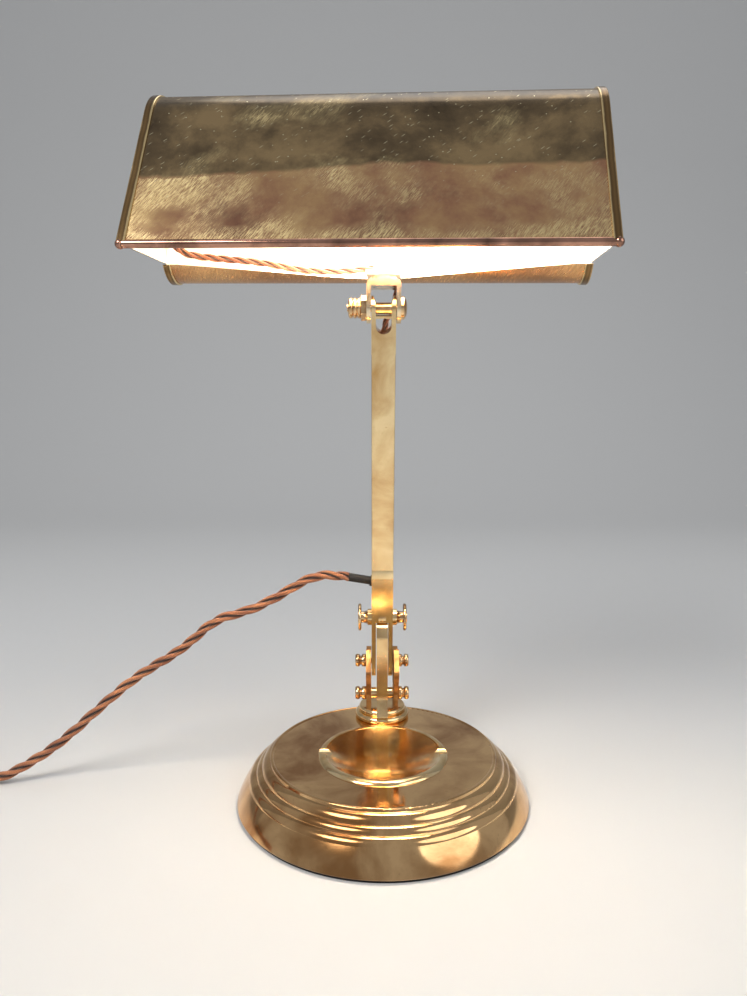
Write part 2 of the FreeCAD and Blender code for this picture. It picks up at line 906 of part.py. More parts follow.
def stem_lead():
    """The lead inside the stem: in from the left, up the bore, out at the back and on up behind the stem."""
    middle = inlet_point(-half_stem / math.cos(math.radians(inlet_slant)))
    low = stem_place(lead_slot_along) - lead_step_start
    points = [
        inlet_point(sleeve_length),
        middle,
        V(0, foot_y, low),
        V(0, foot_y + lead_offset, low + lead_step_length),
        V(0, foot_y + lead_offset, stem_place(head_seam)),
    ]
    first, radii = round_path(points[:2] + [points[1] + V(0, 0, 3 * lead_bend)], tightest=lead_bend)
    rest, radii = round_path([points[1] + V(0, 0, 3 * lead_bend)] + points[2:])
    return leaned(tube_along(Part.Wire(first.OrderedEdges + rest.OrderedEdges), lead_radius))


def tilt_spacer():
    half = head_slot_width / 2 - running_gap
    y, z = foot_y, stem_place(tilt_axis_along)
    body = across(tilt_spacer_radius, -half, half, y, z)
    return leaned(body.cut(across(tilt_bolt_radius + running_gap, -half - 1, half + 1, y, z)))


def stirrup():
    y, z = tilt_axis.y, tilt_axis.z
    inner = stirrup_inner
    outer = stirrup_outer
    deep = stirrup_depth / 2
    under = stirrup_top - stirrup_bar
    low = z - deep
    body = block(-outer, outer, y - deep, y + deep, low, stirrup_top)
    corners = [e for e in body.Edges
               if abs(e.Vertexes[0].Y - e.Vertexes[1].Y) > 1 and e.CenterOfMass.z > stirrup_top - 0.1]
    body = body.makeFillet(stirrup_corner, corners)
    body = body.cut(block(-inner, inner, y - deep - 1, y + deep + 1, low - 1, under))
    side = [
        (y - deep, z),
        (y - deep, stirrup_top + 1),
        (y + deep, stirrup_top + 1),
        (y + deep, z),
        ((y, low), (y - deep, z)),
    ]
    body = body.common(side_plate(side, -outer - 1, outer + 1))
    body = body.cut(across(tilt_bolt_radius + running_gap, -outer - 1, outer + 1, y, z))
    return body.cut(countersunk(running_gap, stirrup_top + 1))


def countersunk(margin, top):
    """The swivel screw's outline, turned, from the stirrup's underside to a height."""
    under = stirrup_top - stirrup_bar
    head, shank = swivel_head_radius + margin, swivel_radius + margin
    moves = [(0, under), (head, under), (shank, under + head - shank), (shank, top), (0, top)]
    return turned(moves, 0, tilt_axis.y)


def tilt_bolt():
    y, z = tilt_axis.y, tilt_axis.z
    outer = stirrup_outer
    tip = outer + tilt_nut_height + face_gap + tilt_thumb_length + 0.5
    r = tilt_head_radius
    moves = [
        (-tip, 0),
        (-tip, tilt_bolt_radius),
        (outer, tilt_bolt_radius),
        (outer, r),
        (outer + 0.5 * tilt_head_thickness, r),
        ((outer + 0.85 * tilt_head_thickness, 0.75 * r), (outer + tilt_head_thickness, 0.2 * r)),
        (outer + tilt_head_thickness, 0),
    ]
    return turned_across(moves, y, z)


def tilt_nut():
    start = V(-stirrup_outer - tilt_nut_height, tilt_axis.y, tilt_axis.z)
    return nut(tilt_nut_flats, tilt_bolt_radius + running_gap, start, V(1, 0, 0), tilt_nut_height)


def tilt_thumb_nut():
    """A ridged thumb nut with two grooves round it."""
    start = -(stirrup_outer + tilt_nut_height + face_gap)
    end = start - tilt_thumb_length
    r, g = tilt_thumb_radius, tilt_thumb_groove
    bore = tilt_bolt_radius + running_gap
    third = tilt_thumb_length / 3
    moves = [(start, bore), (start, r - 0.4)]
    for i in range(3):
        near = start - i * third
        moves.append(((near - 0.45 * third, r), (near - 0.8 * third, r - 0.4)))
        if i < 2:
            moves.append(((near - 0.9 * third, r - g), (near - third, r - 0.4)))
    moves += [(end, r - 1.2), (end, bore)]
    return turned_across(moves, tilt_axis.y, tilt_axis.z)


def swivel_nut_bottom():
    return bridge_bottom + bridge_thickness + swivel_play


def swivel_screw():
    return countersunk(0, swivel_nut_bottom() + swivel_nut_height + swivel_end)


def swivel_washer_ring():
    body = upright(swivel_washer_radius, stirrup_top, stirrup_top + swivel_washer, 0, tilt_axis.y)
    return body.cut(upright(swivel_radius + running_gap, stirrup_top - 1, stirrup_top + 5, 0, tilt_axis.y))


def swivel_nut():
    start = V(0, tilt_axis.y, swivel_nut_bottom())
    return nut(swivel_nut_flats, swivel_radius + running_gap, start, V(0, 0, 1), swivel_nut_height)


def eyelet_bottom():
    """Where the gutter's underside is, in the shade's own pose, at the eyelet."""
    return gutter_height - math.sqrt(gutter_radius ** 2 - (eyelet_y - gutter_y()) ** 2)


def tilt_lead():
    """The loop of lead behind the stirrup, from the stem's back up into the gutter's eyelet."""
    start = lean_point(lead_offset, head_seam)
    low = eyelet_bottom()
    points = [
        start,
        lean_point(lead_offset, head_seam + 7.0),
        V(lead_side, start.y - 1.2, start.z + 16.0),
        hung(Part.Vertex(V(eyelet_x, eyelet_y, low - 8.0))).Point,
        hung(Part.Vertex(V(eyelet_x, eyelet_y, low))).Point,
    ]
    wire, radii = round_path(points)
    return tube_along(wire, lead_radius - lead_gap / 3)


def front_direction():
    """Unit vector up the flat front, in (y, z)."""
    dy = ridge_y + front_reach
    dz = ridge_height - front_edge_height
    far = math.hypot(dy, dz)
    turn = math.atan2(dz, dy) + math.asin(ridge_radius / far)
    return (math.cos(turn), math.sin(turn))


def gutter_y():
    return ridge_y + ridge_radius - gutter_radius


def shade_points(inset):
    """The shade's section as moves, from the front edge over the ridge to the gutter's lip."""
    ty, tz = front_direction()
    ny, nz = -tz, ty
    r = ridge_radius - inset
    g = gutter_radius - inset
    lip = math.radians(lip_angle)
    tangent = math.atan2(nz, ny)
    middle = tangent / 2
    turn = (lip - 2 * math.pi) / 2
    return [
        (-front_reach - inset * ny, front_edge_height - inset * nz),
        (ridge_y + r * ny, ridge_height + r * nz),
        ((ridge_y + r * math.cos(middle), ridge_height + r * math.sin(middle)), (ridge_y + r, ridge_height)),
        (gutter_y() + g, gutter_height),
        (
            (gutter_y() + g * math.cos(turn), gutter_height + g * math.sin(turn)),
            (gutter_y() + g * math.cos(lip), gutter_height + g * math.sin(lip)),
        ),
    ]


def shade_solid(inset, x0, x1):
    """Everything inside the section, closed across the mouth."""
    return side_plate(shade_points(inset), x0, x1)


def front_rod():
    ty, tz = front_direction()
    sink = bead_radius - bead_proud
    y = -front_reach + sink * tz
    z = front_edge_height - sink * ty
    reach = half_shade - ball_radius
    rod = across(bead_radius, -reach, reach, y, z)
    for side in (-1, 1):
        rod = rod.fuse(Part.makeSphere(ball_radius, V(side * (half_shade - 0.6 * ball_radius), y, z)))
    return rod


def shade_band(outer_inset, inner_inset, x0, x1):
    """A strip of sheet along the section between two insets."""
    outer = shade_points(outer_inset)
    inner = shade_points(inner_inset)
    back = [inner[4][1], (inner[4][0], inner[3]), inner[2][1], (inner[2][0], inner[1]), inner[0]]
    return side_plate(outer + back, x0, x1)


def shade_shell():
    reach = half_shade - end_plate_inset
    body = shade_band(0, shade_sheet, -reach, reach).cut(front_rod())
    lip_z = gutter_height + gutter_radius * math.sin(math.radians(lip_angle))
    half = lip_bow_half_length
    high = lip_z + 3
    bend = lip_z - lip_bow * (1 - 0.6 * lip_bow_middle / half)
    bow = front_plate(
        [
            (-half, high),
            (-half, lip_z),
            (-lip_bow_middle, bend),
            ((0, lip_z - lip_bow), (lip_bow_middle, bend)),
            (half, lip_z),
            (half, high),
        ],
        gutter_y() - gutter_radius - 2,
        gutter_y() - 1,
    )
    body = body.cut(bow)
    middle = -shade_offset_x
    wide = bridge_width / 2 + face_gap
    front = gutter_y() - gutter_radius
    body = body.cut(block(middle - wide, middle + wide, front, gutter_y() - 1, bridge_bottom, high))
    for x in bridge_screw_places():
        body = body.cut(upright(bridge_screw_radius + running_gap, 0, gutter_height, x, gutter_y()))
    for z in rivet_heights():
        y0 = ridge_y + ridge_radius - 3
        body = body.cut(along_y(bridge_screw_radius + running_gap, y0, y0 + 6, rivet_x(), z))
    bore = lead_radius + lead_gap
    low = eyelet_bottom()
    rim = low + shade_sheet + eyelet_height
    body = body.fuse(upright(bore + eyelet_wall, low + 0.5 * shade_sheet, rim, eyelet_x, eyelet_y))
    return hung(body.cut(upright(bore, low - 2, rim + 1, eyelet_x, eyelet_y)))


def end_plates():
    made = []
    for side in (-1, 1):
        far = side * (half_shade - end_plate_inset)
        x0, x1 = sorted((far, far - side * end_plate_thickness))
        made.append(shade_solid(shade_sheet, x0, x1).cut(front_rod()))
    return hung(Part.makeCompound(made))


def end_wraps():
    made = []
    for side in (-1, 1):
        x0, x1 = sorted((side * half_shade, side * (half_shade - wrap_width)))
        band = shade_band(-wrap_thickness, 0, x0, x1)
        far = [e for e in band.Edges if abs(abs(e.CenterOfMass.x) - half_shade) < 0.01 or
               abs(abs(e.CenterOfMass.x) - half_shade + wrap_width) < 0.01]
        outer_y = shade_points(-wrap_thickness)
        rounded = [e for e in far if e.Length > 2 * wrap_thickness and on_section(e, outer_y)]
        band = band.makeFillet(0.6 * wrap_thickness, rounded)
        made.append(band.cut(front_rod()))
    return hung(Part.makeCompound(made))


def on_section(edge, moves):
    """Whether an edge lies on the section that the moves draw."""
    middle = edge.valueAt((edge.FirstParameter + edge.LastParameter) / 2)
    wire = outline(moves, lambda y, z: V(middle.x, y, z))
    closing = line(V(middle.x, *moves[0]), V(middle.x, *moves[-1][1]))
    point = Part.Vertex(middle)
    return point.distToShape(wire)[0] < 0.01 and point.distToShape(closing)[0] > 0.5


def bridge_screw_places():
    middle = -shade_offset_x
    return [middle - bridge_screw_spacing / 2, middle + bridge_screw_spacing / 2]


def shade_bridge():
    """The strap inside the gutter that sits on the swivel screw."""
    middle = -shade_offset_x
    half = bridge_width / 2
    z0 = bridge_bottom
    body = block(middle - half, middle + half, -bridge_front, ridge_y + ridge_radius, z0, z0 + bridge_thickness)
    room = across(gutter_radius - shade_sheet, middle - half - 1, middle + half + 1, gutter_y(), gutter_height)
    front = block(middle - half, middle + half, -bridge_front, gutter_y(), z0, z0 + bridge_thickness)
    body = body.common(room.fuse(front))
    body = body.cut(upright(swivel_radius + swivel_fit, z0 - 1, z0 + 5, middle, 0))
    clear = lead_radius + eyelet_wall + 2 * lead_gap
    y0, y1 = eyelet_y - clear, eyelet_y + clear
    body = body.cut(block(eyelet_x - clear, middle + half + 1, y0, y1, z0 - 1, z0 + 5))
    for x in bridge_screw_places():
        body = body.cut(upright(bridge_screw_radius + running_gap, z0 - 1, z0 + 5, x, gutter_y()))
    return hung(body)


def bridge_screws():
    made = []
    under = gutter_height - gutter_radius
    top = bridge_bottom + bridge_thickness
    for x in bridge_screw_places():
        moves = [
            (0, under - small_head_height),
            ((0.7 * small_head_radius, under - 0.8 * small_head_height), (small_head_radius, under)),
            (bridge_screw_radius, under),
            (bridge_screw_radius, top),
            (small_head_radius, top),
            (small_head_radius, top + bridge_nut_height),
            (0, top + bridge_nut_height),
        ]
        made.append(turned(moves, x, gutter_y()))
    return hung(Part.makeCompound(made))


def bracket_x():
    return -half_shade + bracket_from_end


def rivet_x():
    return bracket_x() + bracket_sheet + bracket_flange / 2


def rivet_heights():
    return [bulb_height - bracket_rivet_spacing / 2, bulb_height + bracket_rivet_spacing / 2]


def holder_bracket():
    x0 = bracket_x()
    back = ridge_y + ridge_radius - shade_sheet
    z0, z1 = bulb_height - bracket_height / 2, bulb_height + bracket_height / 2
    body = block(x0, x0 + bracket_sheet, bulb_y - bracket_front, back, z0, z1)
    body = body.fuse(block(x0, x0 + bracket_sheet + bracket_flange, back - bracket_sheet, back, z0, z1))
    body = body.cut(across(entry_radius + running_gap, x0 - 1, x0 + 3, bulb_y, bulb_height))
    for z in rivet_heights():
        body = body.cut(along_y(bridge_screw_radius + running_gap, back - 5, back + 1, rivet_x(), z))
    return hung(body)


def bracket_rivets():
    made = []
    outside = ridge_y + ridge_radius
    inside = outside - shade_sheet - bracket_sheet
    for z in rivet_heights():
        shank = along_y(bridge_screw_radius, inside - 1, outside + 1, rivet_x(), z)
        head = along_y(small_head_radius, outside, outside + 1, rivet_x(), z)
        tail = along_y(small_head_radius, inside - 1, inside, rivet_x(), z)
        dome = head.Edges[0] if head.Edges[0].CenterOfMass.y > outside + 0.5 else head.Edges[2]
        made.append(shank.fuse(head.makeFillet(0.8, [dome])).fuse(tail))
    return hung(Part.makeCompound(made))


def holder_start():
    return bracket_x() + bracket_sheet


def on_holder(moves):
    """Turn an outline of (distance from the bracket, radius) points about the lamp's axis."""
    x0 = holder_start()
    shifted = []
    for move in moves:
        if isinstance(move[0], tuple):
            shifted.append(tuple((x0 + a, r) for a, r in move))
        else:
            shifted.append((x0 + move[0], move[1]))
    return turned_across(shifted, bulb_y, bulb_height)


def holder_entry():
    """The hollow screw that holds the lampholder to its bracket, with its lock nut."""
    tail = -bracket_sheet - entry_tail
    flange = 1.8
    moves = [
        (tail, entry_bore),
        (tail, entry_radius),
        (-bracket_sheet - flange, entry_radius),
        (-bracket_sheet - flange, entry_radius + 2.5),
        (-bracket_sheet, entry_radius + 2.5),
        (-bracket_sheet, entry_radius),
        (entry_nose, entry_radius),
        (entry_nose, entry_bore),
    ]
    return hung(on_holder(moves))


def holder_cap():
    w = holder_wall
    r, b, end = holder_cap_radius, holder_cap_back_radius, holder_cap_length
    bore = entry_radius + running_gap
    moves = [
        (0, bore),
        (0, b),
        ((0.27 * end, 0.9 * r), (0.8 * end, r)),
        (end, r),
        (end, r - w),
        (0.8 * end, r - w),
        ((0.27 * end + w, 0.9 * r - w), (w, b - 0.4)),
        (w, bore),
    ]
    body = on_holder(moves)
    bar = upright(switch_bar_radius + running_gap, bulb_height - 30, bulb_height + 30,
                  holder_start() + switch_bar_along, bulb_y + switch_bar_back)
    return hung(body.cut(bar))


def holder_body():
    r = holder_body_radius
    start = holder_cap_length - holder_thread_length
    moves = [
        (start, r - holder_wall),
        (start, r),
        (holder_body_end, r),
        (holder_body_end, r - holder_wall),
    ]
    body = on_holder(moves)
    x1 = holder_start() + holder_body_end
    x0 = holder_start() + bulb_pin_along - bulb_pin_radius - 0.3
    half = bulb_pin_radius + 0.3
    slot = block(x0, x1 + 1, bulb_y - half, bulb_y + half, bulb_height - r - 1, bulb_height + r + 1)
    return hung(body.cut(slot))


def holder_ring():
    end = holder_ring_start + holder_ring_length
    bore = holder_body_radius + running_gap
    moves = [
        (holder_ring_start, bore),
        (holder_ring_start, holder_ring_radius),
        (holder_ring_start + 2, holder_ring_radius),
        (holder_ring_start + 2.6, bore + 1.6),
        (end, bore + 1.6),
        (end, bore),
    ]
    return hung(on_holder(moves))


def plunger_places():
    half = plunger_spacing / 2
    return [bulb_height - half, bulb_height + half]


def holder_insert():
    """The porcelain block inside the holder, bored for the two contacts."""
    radius = holder_body_radius - holder_wall - running_gap
    body = on_holder([
        (holder_cap_length - holder_thread_length, 0),
        (holder_cap_length - holder_thread_length, radius),
        (insert_end, radius),
        (insert_end, 0),
    ])
    for z in plunger_places():
        x0 = holder_start() + plunger_start
        body = body.cut(across(plunger_radius + running_gap, x0, x0 + 20, bulb_y, z))
    return hung(body)


def contact_plungers():
    x0 = holder_start() + plunger_start
    x1 = holder_start() + bulb_cap_start
    return hung(Part.makeCompound([across(plunger_radius, x0, x1, bulb_y, z) for z in plunger_places()]))


def switch_bar():
    """The push bar of the switch, with a button at each end. At rest its lower end stands further out."""
    x = holder_start() + switch_bar_along
    y = bulb_y + switch_bar_back
    low = bulb_height - switch_bar_length / 2 - switch_travel / 2
    high = low + switch_bar_length
    body = upright(switch_bar_radius, low, high, x, y)
    body = body.fuse(upright(switch_button_radius, low - switch_button_length, low, x, y))
    body = body.fuse(upright(switch_button_radius, high, high + switch_button_length, x, y))
    return hung(body)


def bulb_cap():
    r = bulb_cap_radius
    moves = [
        (bulb_cap_start, 0),
        (bulb_cap_start, r - 1.5),
        (bulb_cap_start + 1.5, r),
        (bulb_cap_end, r),
        (bulb_cap_end, glass_neck_radius - 1.5),
        (bulb_cap_start + 3, glass_neck_radius - 1.5),
        (bulb_cap_start + 3, 0),
    ]
    body = on_holder(moves)
    x = holder_start() + bulb_pin_along
    pins = upright(bulb_pin_radius, bulb_height - bulb_pin_reach, bulb_height + bulb_pin_reach, x, bulb_y)
    room = across(r - 0.5, x - 3, x + 3, bulb_y, bulb_height)
    return hung(body.fuse(pins.cut(room)))


def bulb_glass():
    r, w, n = glass_radius, glass_wall, glass_neck_radius
    start, end = bulb_cap_end - 6, glass_end
    n_out = n - 1.5 - running_gap
    moves = [
        (start, n_out - w),
        (start, n_out),
        (bulb_cap_end, n_out),
        ((bulb_cap_end + 4, 0.82 * r), (bulb_cap_end + 11, r)),
        (end - r, r),
        ((end - 0.29 * r, 0.71 * r), (end, 0.1 * r)),
        (end, 0),
        (end - w, 0),
        (end - w, 0.1 * r),
        ((end - 0.29 * r - 0.71 * w, 0.71 * (r - w)), (end - r, r - w)),
        (bulb_cap_end + 11, r - w),
        ((bulb_cap_end + 4 + 0.5 * w, 0.82 * r - w), (bulb_cap_end + 0.6 * w, n_out - w)),
    ]
    return hung(on_holder(moves))


def bulb_filament():
    """A glass stem with two rings, and straight filaments strung between them."""
    body = on_holder([
        (bulb_cap_start + 3, 0),
        (bulb_cap_start + 3, filament_stem_radius),
        (filament_start, filament_stem_radius),
        (filament_start, filament_ring_radius),
        (filament_start + filament_ring_thickness, filament_ring_radius),
        (filament_start + filament_ring_thickness, filament_stem_radius),
        (filament_end - filament_ring_thickness, filament_stem_radius),
        (filament_end - filament_ring_thickness, filament_ring_radius),
        (filament_end, filament_ring_radius),
        (filament_end, 0),
    ])
    x0 = holder_start() + filament_start + 0.5 * filament_ring_thickness
    x1 = holder_start() + filament_end - 0.5 * filament_ring_thickness
    for i in range(filament_rod_count):
        turn = 2 * math.pi * i / filament_rod_count
        out = filament_ring_radius - 2 * filament_rod_radius
        y = bulb_y + out * math.cos(turn)
        z = bulb_height + out * math.sin(turn)
        body = body.fuse(across(filament_rod_radius, x0, x1, y, z))
    return hung(body)


def holder_lead():
    """The lead inside the shade: from the eyelet along the gutter and into the lampholder's back."""
    terminals = holder_start() + holder_cap_length - holder_thread_length
    end_wall = -half_shade + end_plate_inset + end_plate_thickness
    low = eyelet_bottom()
    points = [
        V(eyelet_x, eyelet_y, low),
        V(eyelet_x, eyelet_y, low + 7.0),
        V(eyelet_x - 11, eyelet_y - 1, low + 8.3),
        V(eyelet_x - 30, eyelet_y - 3.5, low + 5.3),
        V(eyelet_x - 52, eyelet_y - 6.5, low + 5.3),
        V(eyelet_x - 74, eyelet_y - 10.5, low + 9.3),
        V(eyelet_x - 94, eyelet_y - 14.5, low + 10.1),
        V(end_wall + 14.5, eyelet_y - 17.5, low + 11.8),
        V(end_wall + 6, bulb_y + 5, low + 19),
        V(end_wall + 5.5, bulb_y + 2, low + 34),
        V(end_wall + 6, bulb_y, bulb_height - 4),
        V(end_wall + 8, bulb_y, bulb_height),
        V(terminals, bulb_y, bulb_height),
    ]
    wire, radii = round_path(points)
    return hung(tube_along(wire, lead_radius))


def cord_route():
    """The free lead, from the sleeve's end to the coil. Its points follow how it hangs and lies."""
    end = inlet_point(sleeve_length)
    ahead = inlet_point(sleeve_length + 13)
    low = cord_radius + 0.1
    return [
        lean_point(0, end.z - elbow_height, end.x),
        lean_point(0, ahead.z - elbow_height, ahead.x),
        V(-46.5, 38.6, 117.6),
        V(-61.5, 36.4, 108.4),
        V(-80, 33.6, 99.3),
        V(-101, 30.6, 95.0),
        V(-119.5, 27.9, 77.4),
        V(-146, 24.0, 62.6),
        V(-167, 20.8, 45.4),
        V(-191, 17.3, 23.5),
        V(-210, 14.4, 11.5),
        V(-226, 12.2, low + 0.2),
        V(-244, coil_back_y, low),
        V(coil_middle_x + cord_radius * 2, coil_back_y, low),
    ]


def coil_outer_radius():
    return coil_middle_radius + coil_layer_turns * coil_pitch / 2


def mains_cord():
    wire, radii = round_path(cord_route())
    body = tube_along(wire, cord_radius)
    section = math.pi * cord_radius ** 2
    print("free lead: length %.1f, volume over section %.1f" % (wire.Length, body.Volume / section))
    print("free lead radii:", " ".join("%.0f" % r for r in radii))
    return body


def biarc(p0, t0, p1, t1):
    """Two arcs that leave p0 along t0 and reach p1 along t1, meeting smoothly."""
    v = p1 - p0
    t = t0 + t1
    a = 2 * (1 - t0.dot(t1))
    b = 2 * v.dot(t)
    c = -v.dot(v)
    reach = -c / b if abs(a) < 1e-9 else (-b + math.sqrt(b * b - 4 * a * c)) / (2 * a)
    q0 = p0 + t0 * reach
    q1 = p1 - t1 * reach
    join = (q0 + q1) * 0.5

    def one(start, corner, end):
        flat = (start + end) * 0.5
        away = (corner - flat).Length
        if away < 1e-6:
            return line(start, end)
        half = (end - start).Length / 2
        rise = half * math.tan(math.atan2(away, half) / 2)
        return arc(start, flat + (corner - flat) * (rise / away), end)

    return [one(p0, q0, join), one(join, q1, p1)]


def coil_point(travel):
    """A point of the coil, by turns travelled: in along the lower layer, a climb, and out along the upper."""
    n = coil_layer_turns
    low = cord_radius + 0.1
    outer = coil_outer_radius()
    inner = outer - n * coil_pitch
    if travel <= n:
        radius, z = outer - travel * coil_pitch, low
    elif travel <= n + 0.5:
        share = (travel - n) / 0.5
        radius = inner - 0.5 * coil_pitch * share * (1 - share)
        z = low + coil_pitch * (1 - math.cos(math.pi * share)) / 2
    else:
        radius, z = inner + (travel - n - 0.5) * coil_pitch, low + coil_pitch
    turn = math.pi / 2 + 2 * math.pi * travel
    centre = V(coil_middle_x, coil_back_y - outer, 0)
    return centre + V(radius * math.cos(turn), radius * math.sin(turn), z)


def coil_heading(travel):
    step = 1e-4
    total = 2 * coil_layer_turns + 0.5
    a = coil_point(max(0, travel - step))
    b = coil_point(min(total, travel + step))
    return (b - a).normalize()


def coil_wire():
    """Biarcs of a quarter turn, and of an eighth where the coil climbs, with a straight end each way."""
    n = coil_layer_turns
    total = 2 * n + 0.5
    stops = [i * 0.25 for i in range(int(round(n / 0.25)) + 1)]
    stops += [n + 0.125 * i for i in range(1, 5)]
    stops += [n + 0.5 + 0.25 * i for i in range(1, int(round(n / 0.25)) + 1)]
    headings = [coil_heading(s) for s in stops]
    headings[0] = V(-1, 0, 0)
    headings[-1] = V(-1, 0, 0)
    points = [coil_point(s) for s in stops]
    edges = [line(points[0] + V(2 * cord_radius, 0, 0), points[0])]
    for i in range(len(stops) - 1):
        edges += biarc(points[i], headings[i], points[i + 1], headings[i + 1])
    edges.append(line(points[-1], lead_end()))
    return Part.Wire(edges)


def least_gap(wire):
    """The least distance between stretches of the coil that are over a third of a turn apart."""
    points = wire.discretize(Distance=3.0)
    skip = int(2 * math.pi * coil_middle_radius / 3 / 3.0)
    least = 1e9
    for i, p in enumerate(points):
        for q in points[i + skip:]:
            least = min(least, (p - q).Length)
    return least - 2 * cord_radius


def cord_coil():
    wire = coil_wire()
    body = tube_along(wire, cord_radius)
    print("coil: length %.1f, least gap to itself %.2f" % (wire.Length, least_gap(wire)))
    section = math.pi * cord_radius ** 2
    print("coil: volume over section %.1f" % (body.Volume / section))
    return body


def lead_end():
    """Where the coil's upper end stops, to the left of the coil."""
    return coil_point(2 * coil_layer_turns + 0.5) - V(coil_tail, 0, 0)


def plug_x():
    """The plug's face on the lead's side."""
    return lead_end().x - relief_length


def plug_block(z0, z1):
    y = lead_end().y
    half = plug_width / 2
    body = block(plug_x() - plug_length, plug_x(), y - half, y + half, z0, z1)
    corners = [e for e in body.Edges if abs(e.Vertexes[0].Z - e.Vertexes[1].Z) > 1]
    return body.makeFillet(plug_corner, corners)


def plug_cover():
    body = plug_block(0, plug_cover_height)
    rim = [e for e in body.Edges if e.CenterOfMass.z < 0.01]
    return body.makeFillet(2.0, rim)


def pin_places():
    """Middle x, middle y, size along x, size along y and length of each pin."""
    y = lead_end().y
    x = plug_x() - pin_setback
    half = pin_spacing / 2
    return [
        (x, y - half, pin_thickness, pin_width, pin_length),
        (x, y + half, pin_thickness, pin_width, pin_length),
        (x - pin_spacing, y, earth_pin_width, pin_thickness, earth_pin_length),
    ]


def plug_base():
    body = plug_block(plug_cover_height, plug_cover_height + plug_base_height)
    rim = [e for e in body.Edges if e.CenterOfMass.z > plug_cover_height + plug_base_height - 0.01]
    return body.makeFillet(1.2, rim)


def plug_pins():
    z0 = plug_cover_height + plug_base_height
    made = []
    for x, y, dx, dy, high in pin_places():
        made.append(block(x - dx / 2, x + dx / 2, y - dy / 2, y + dy / 2, z0, z0 + high))
    return Part.makeCompound(made)


def plug_relief():
    """The rubber sleeve between the lead and the plug, tapering to the lead."""
    start = lead_end()
    moves = [
        (start.x, 0),
        (start.x, cord_radius + 0.5),
        ((start.x - 0.55 * relief_length, cord_radius + 1.4), (plug_x(), relief_radius)),
        (plug_x(), 0),
    ]
    return turned_across(moves, start.y, start.z)


PIECES = {
    "base_shell": base_shell,
    "base_weight": weight,
    "base_cover": base_cover,
    "base_felt": felt,
    "cover_screws": cover_screws,
    "tray": tray,
    "tray_nut": tray_nut,
    "foot_casting": foot_casting,
    "foot_stud": foot_stud,
    "foot_nut": foot_nut,
    "cheek_plate_left": lambda: mirrored(cheek_plate()),
    "cheek_plate_right": cheek_plate,
    "cheek_bolt": cheek_bolt,
    "cheek_spacers": cheek_spacers,
    "cheek_nuts": cheek_nuts,
    "stem_fork": stem_fork,
    "stem_tube": stem_tube,
    "stem_head": stem_head,
    "elbow_bolt": elbow_bolt,
    "elbow_thumb_nut": elbow_thumb_nut,
    "slot_studs": slot_studs,
    "slot_nut_left": lambda: slot_nut(-1),
    "slot_nut_right": lambda: slot_nut(1),
    "cord_bush": cord_bush,
    "cord_sleeve": cord_sleeve,
    "stem_lead": stem_lead,
    "tilt_spacer": tilt_spacer,
    "stirrup": stirrup,
    "tilt_bolt": tilt_bolt,
    "tilt_nut": tilt_nut,
    "tilt_thumb_nut": tilt_thumb_nut,
    "swivel_screw": swivel_screw,
    "swivel_washer": swivel_washer_ring,
    "swivel_nut": swivel_nut,
    "tilt_lead": tilt_lead,
    "shade_shell": shade_shell,
    "end_plates": end_plates,
    "end_wraps": end_wraps,
    "front_rod": lambda: hung(front_rod()),
    "shade_bridge": shade_bridge,
    "bridge_screws": bridge_screws,
    "holder_bracket": holder_bracket,
    "bracket_rivets": bracket_rivets,
    "holder_entry": holder_entry,
    "holder_cap": holder_cap,
    "holder_body": holder_body,
    "holder_ring": holder_ring,
    "holder_insert": holder_insert,
    "contact_plungers": contact_plungers,
    "switch_bar": switch_bar,
    "bulb_cap": bulb_cap,
    "bulb_glass": bulb_glass,
    "bulb_filament": bulb_filament,
    "holder_lead": holder_lead,
    "mains_cord": mains_cord,
    "cord_coil": cord_coil,
    "plug_relief": plug_relief,
    "plug_cover": plug_cover,
    "plug_base": plug_base,
    "plug_pins": plug_pins,
}

os.makedirs("parts", exist_ok=True)
for name, make in PIECES.items():
    make().exportStep("parts/%s.step" % name)
print("tilt axis at", tilt_axis, "pieces", len(PIECES))
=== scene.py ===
import bmesh
import bpy
import math
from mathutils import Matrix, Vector


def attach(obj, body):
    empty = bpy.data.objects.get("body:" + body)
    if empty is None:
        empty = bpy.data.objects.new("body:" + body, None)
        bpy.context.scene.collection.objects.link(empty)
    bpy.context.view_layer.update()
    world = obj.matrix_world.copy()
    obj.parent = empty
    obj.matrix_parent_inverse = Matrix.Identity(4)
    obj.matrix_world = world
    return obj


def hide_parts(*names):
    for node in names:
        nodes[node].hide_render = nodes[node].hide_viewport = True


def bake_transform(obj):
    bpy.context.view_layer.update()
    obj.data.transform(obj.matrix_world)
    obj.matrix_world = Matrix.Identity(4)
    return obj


bl_info = {
    "name": "Brass Bankers Lamp",
    "version": (1, 0, 0),
    "blender": (4, 5, 0),
    "location": "View3D > Sidebar > Lamp",
    "description": (
        "Dresses a brass bankers lamp with a folded shade, a twisted flex and a plain studio"),
    "category": "Object",
}

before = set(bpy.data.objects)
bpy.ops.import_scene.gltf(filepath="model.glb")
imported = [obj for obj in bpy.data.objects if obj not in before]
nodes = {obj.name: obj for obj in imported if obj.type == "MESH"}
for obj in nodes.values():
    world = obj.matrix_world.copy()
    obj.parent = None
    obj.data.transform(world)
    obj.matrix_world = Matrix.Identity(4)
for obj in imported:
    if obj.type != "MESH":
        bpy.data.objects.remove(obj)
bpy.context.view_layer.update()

MM = 0.001
# how deep the finest marks on a surface are drawn
FINE = 0.1 * MM
ENAMEL_WHITE = "#faf6ee"
# a Mix node's colour sockets go by number, because its other sockets have the same names
MIX_A, MIX_B, MIXED = 6, 7, 2

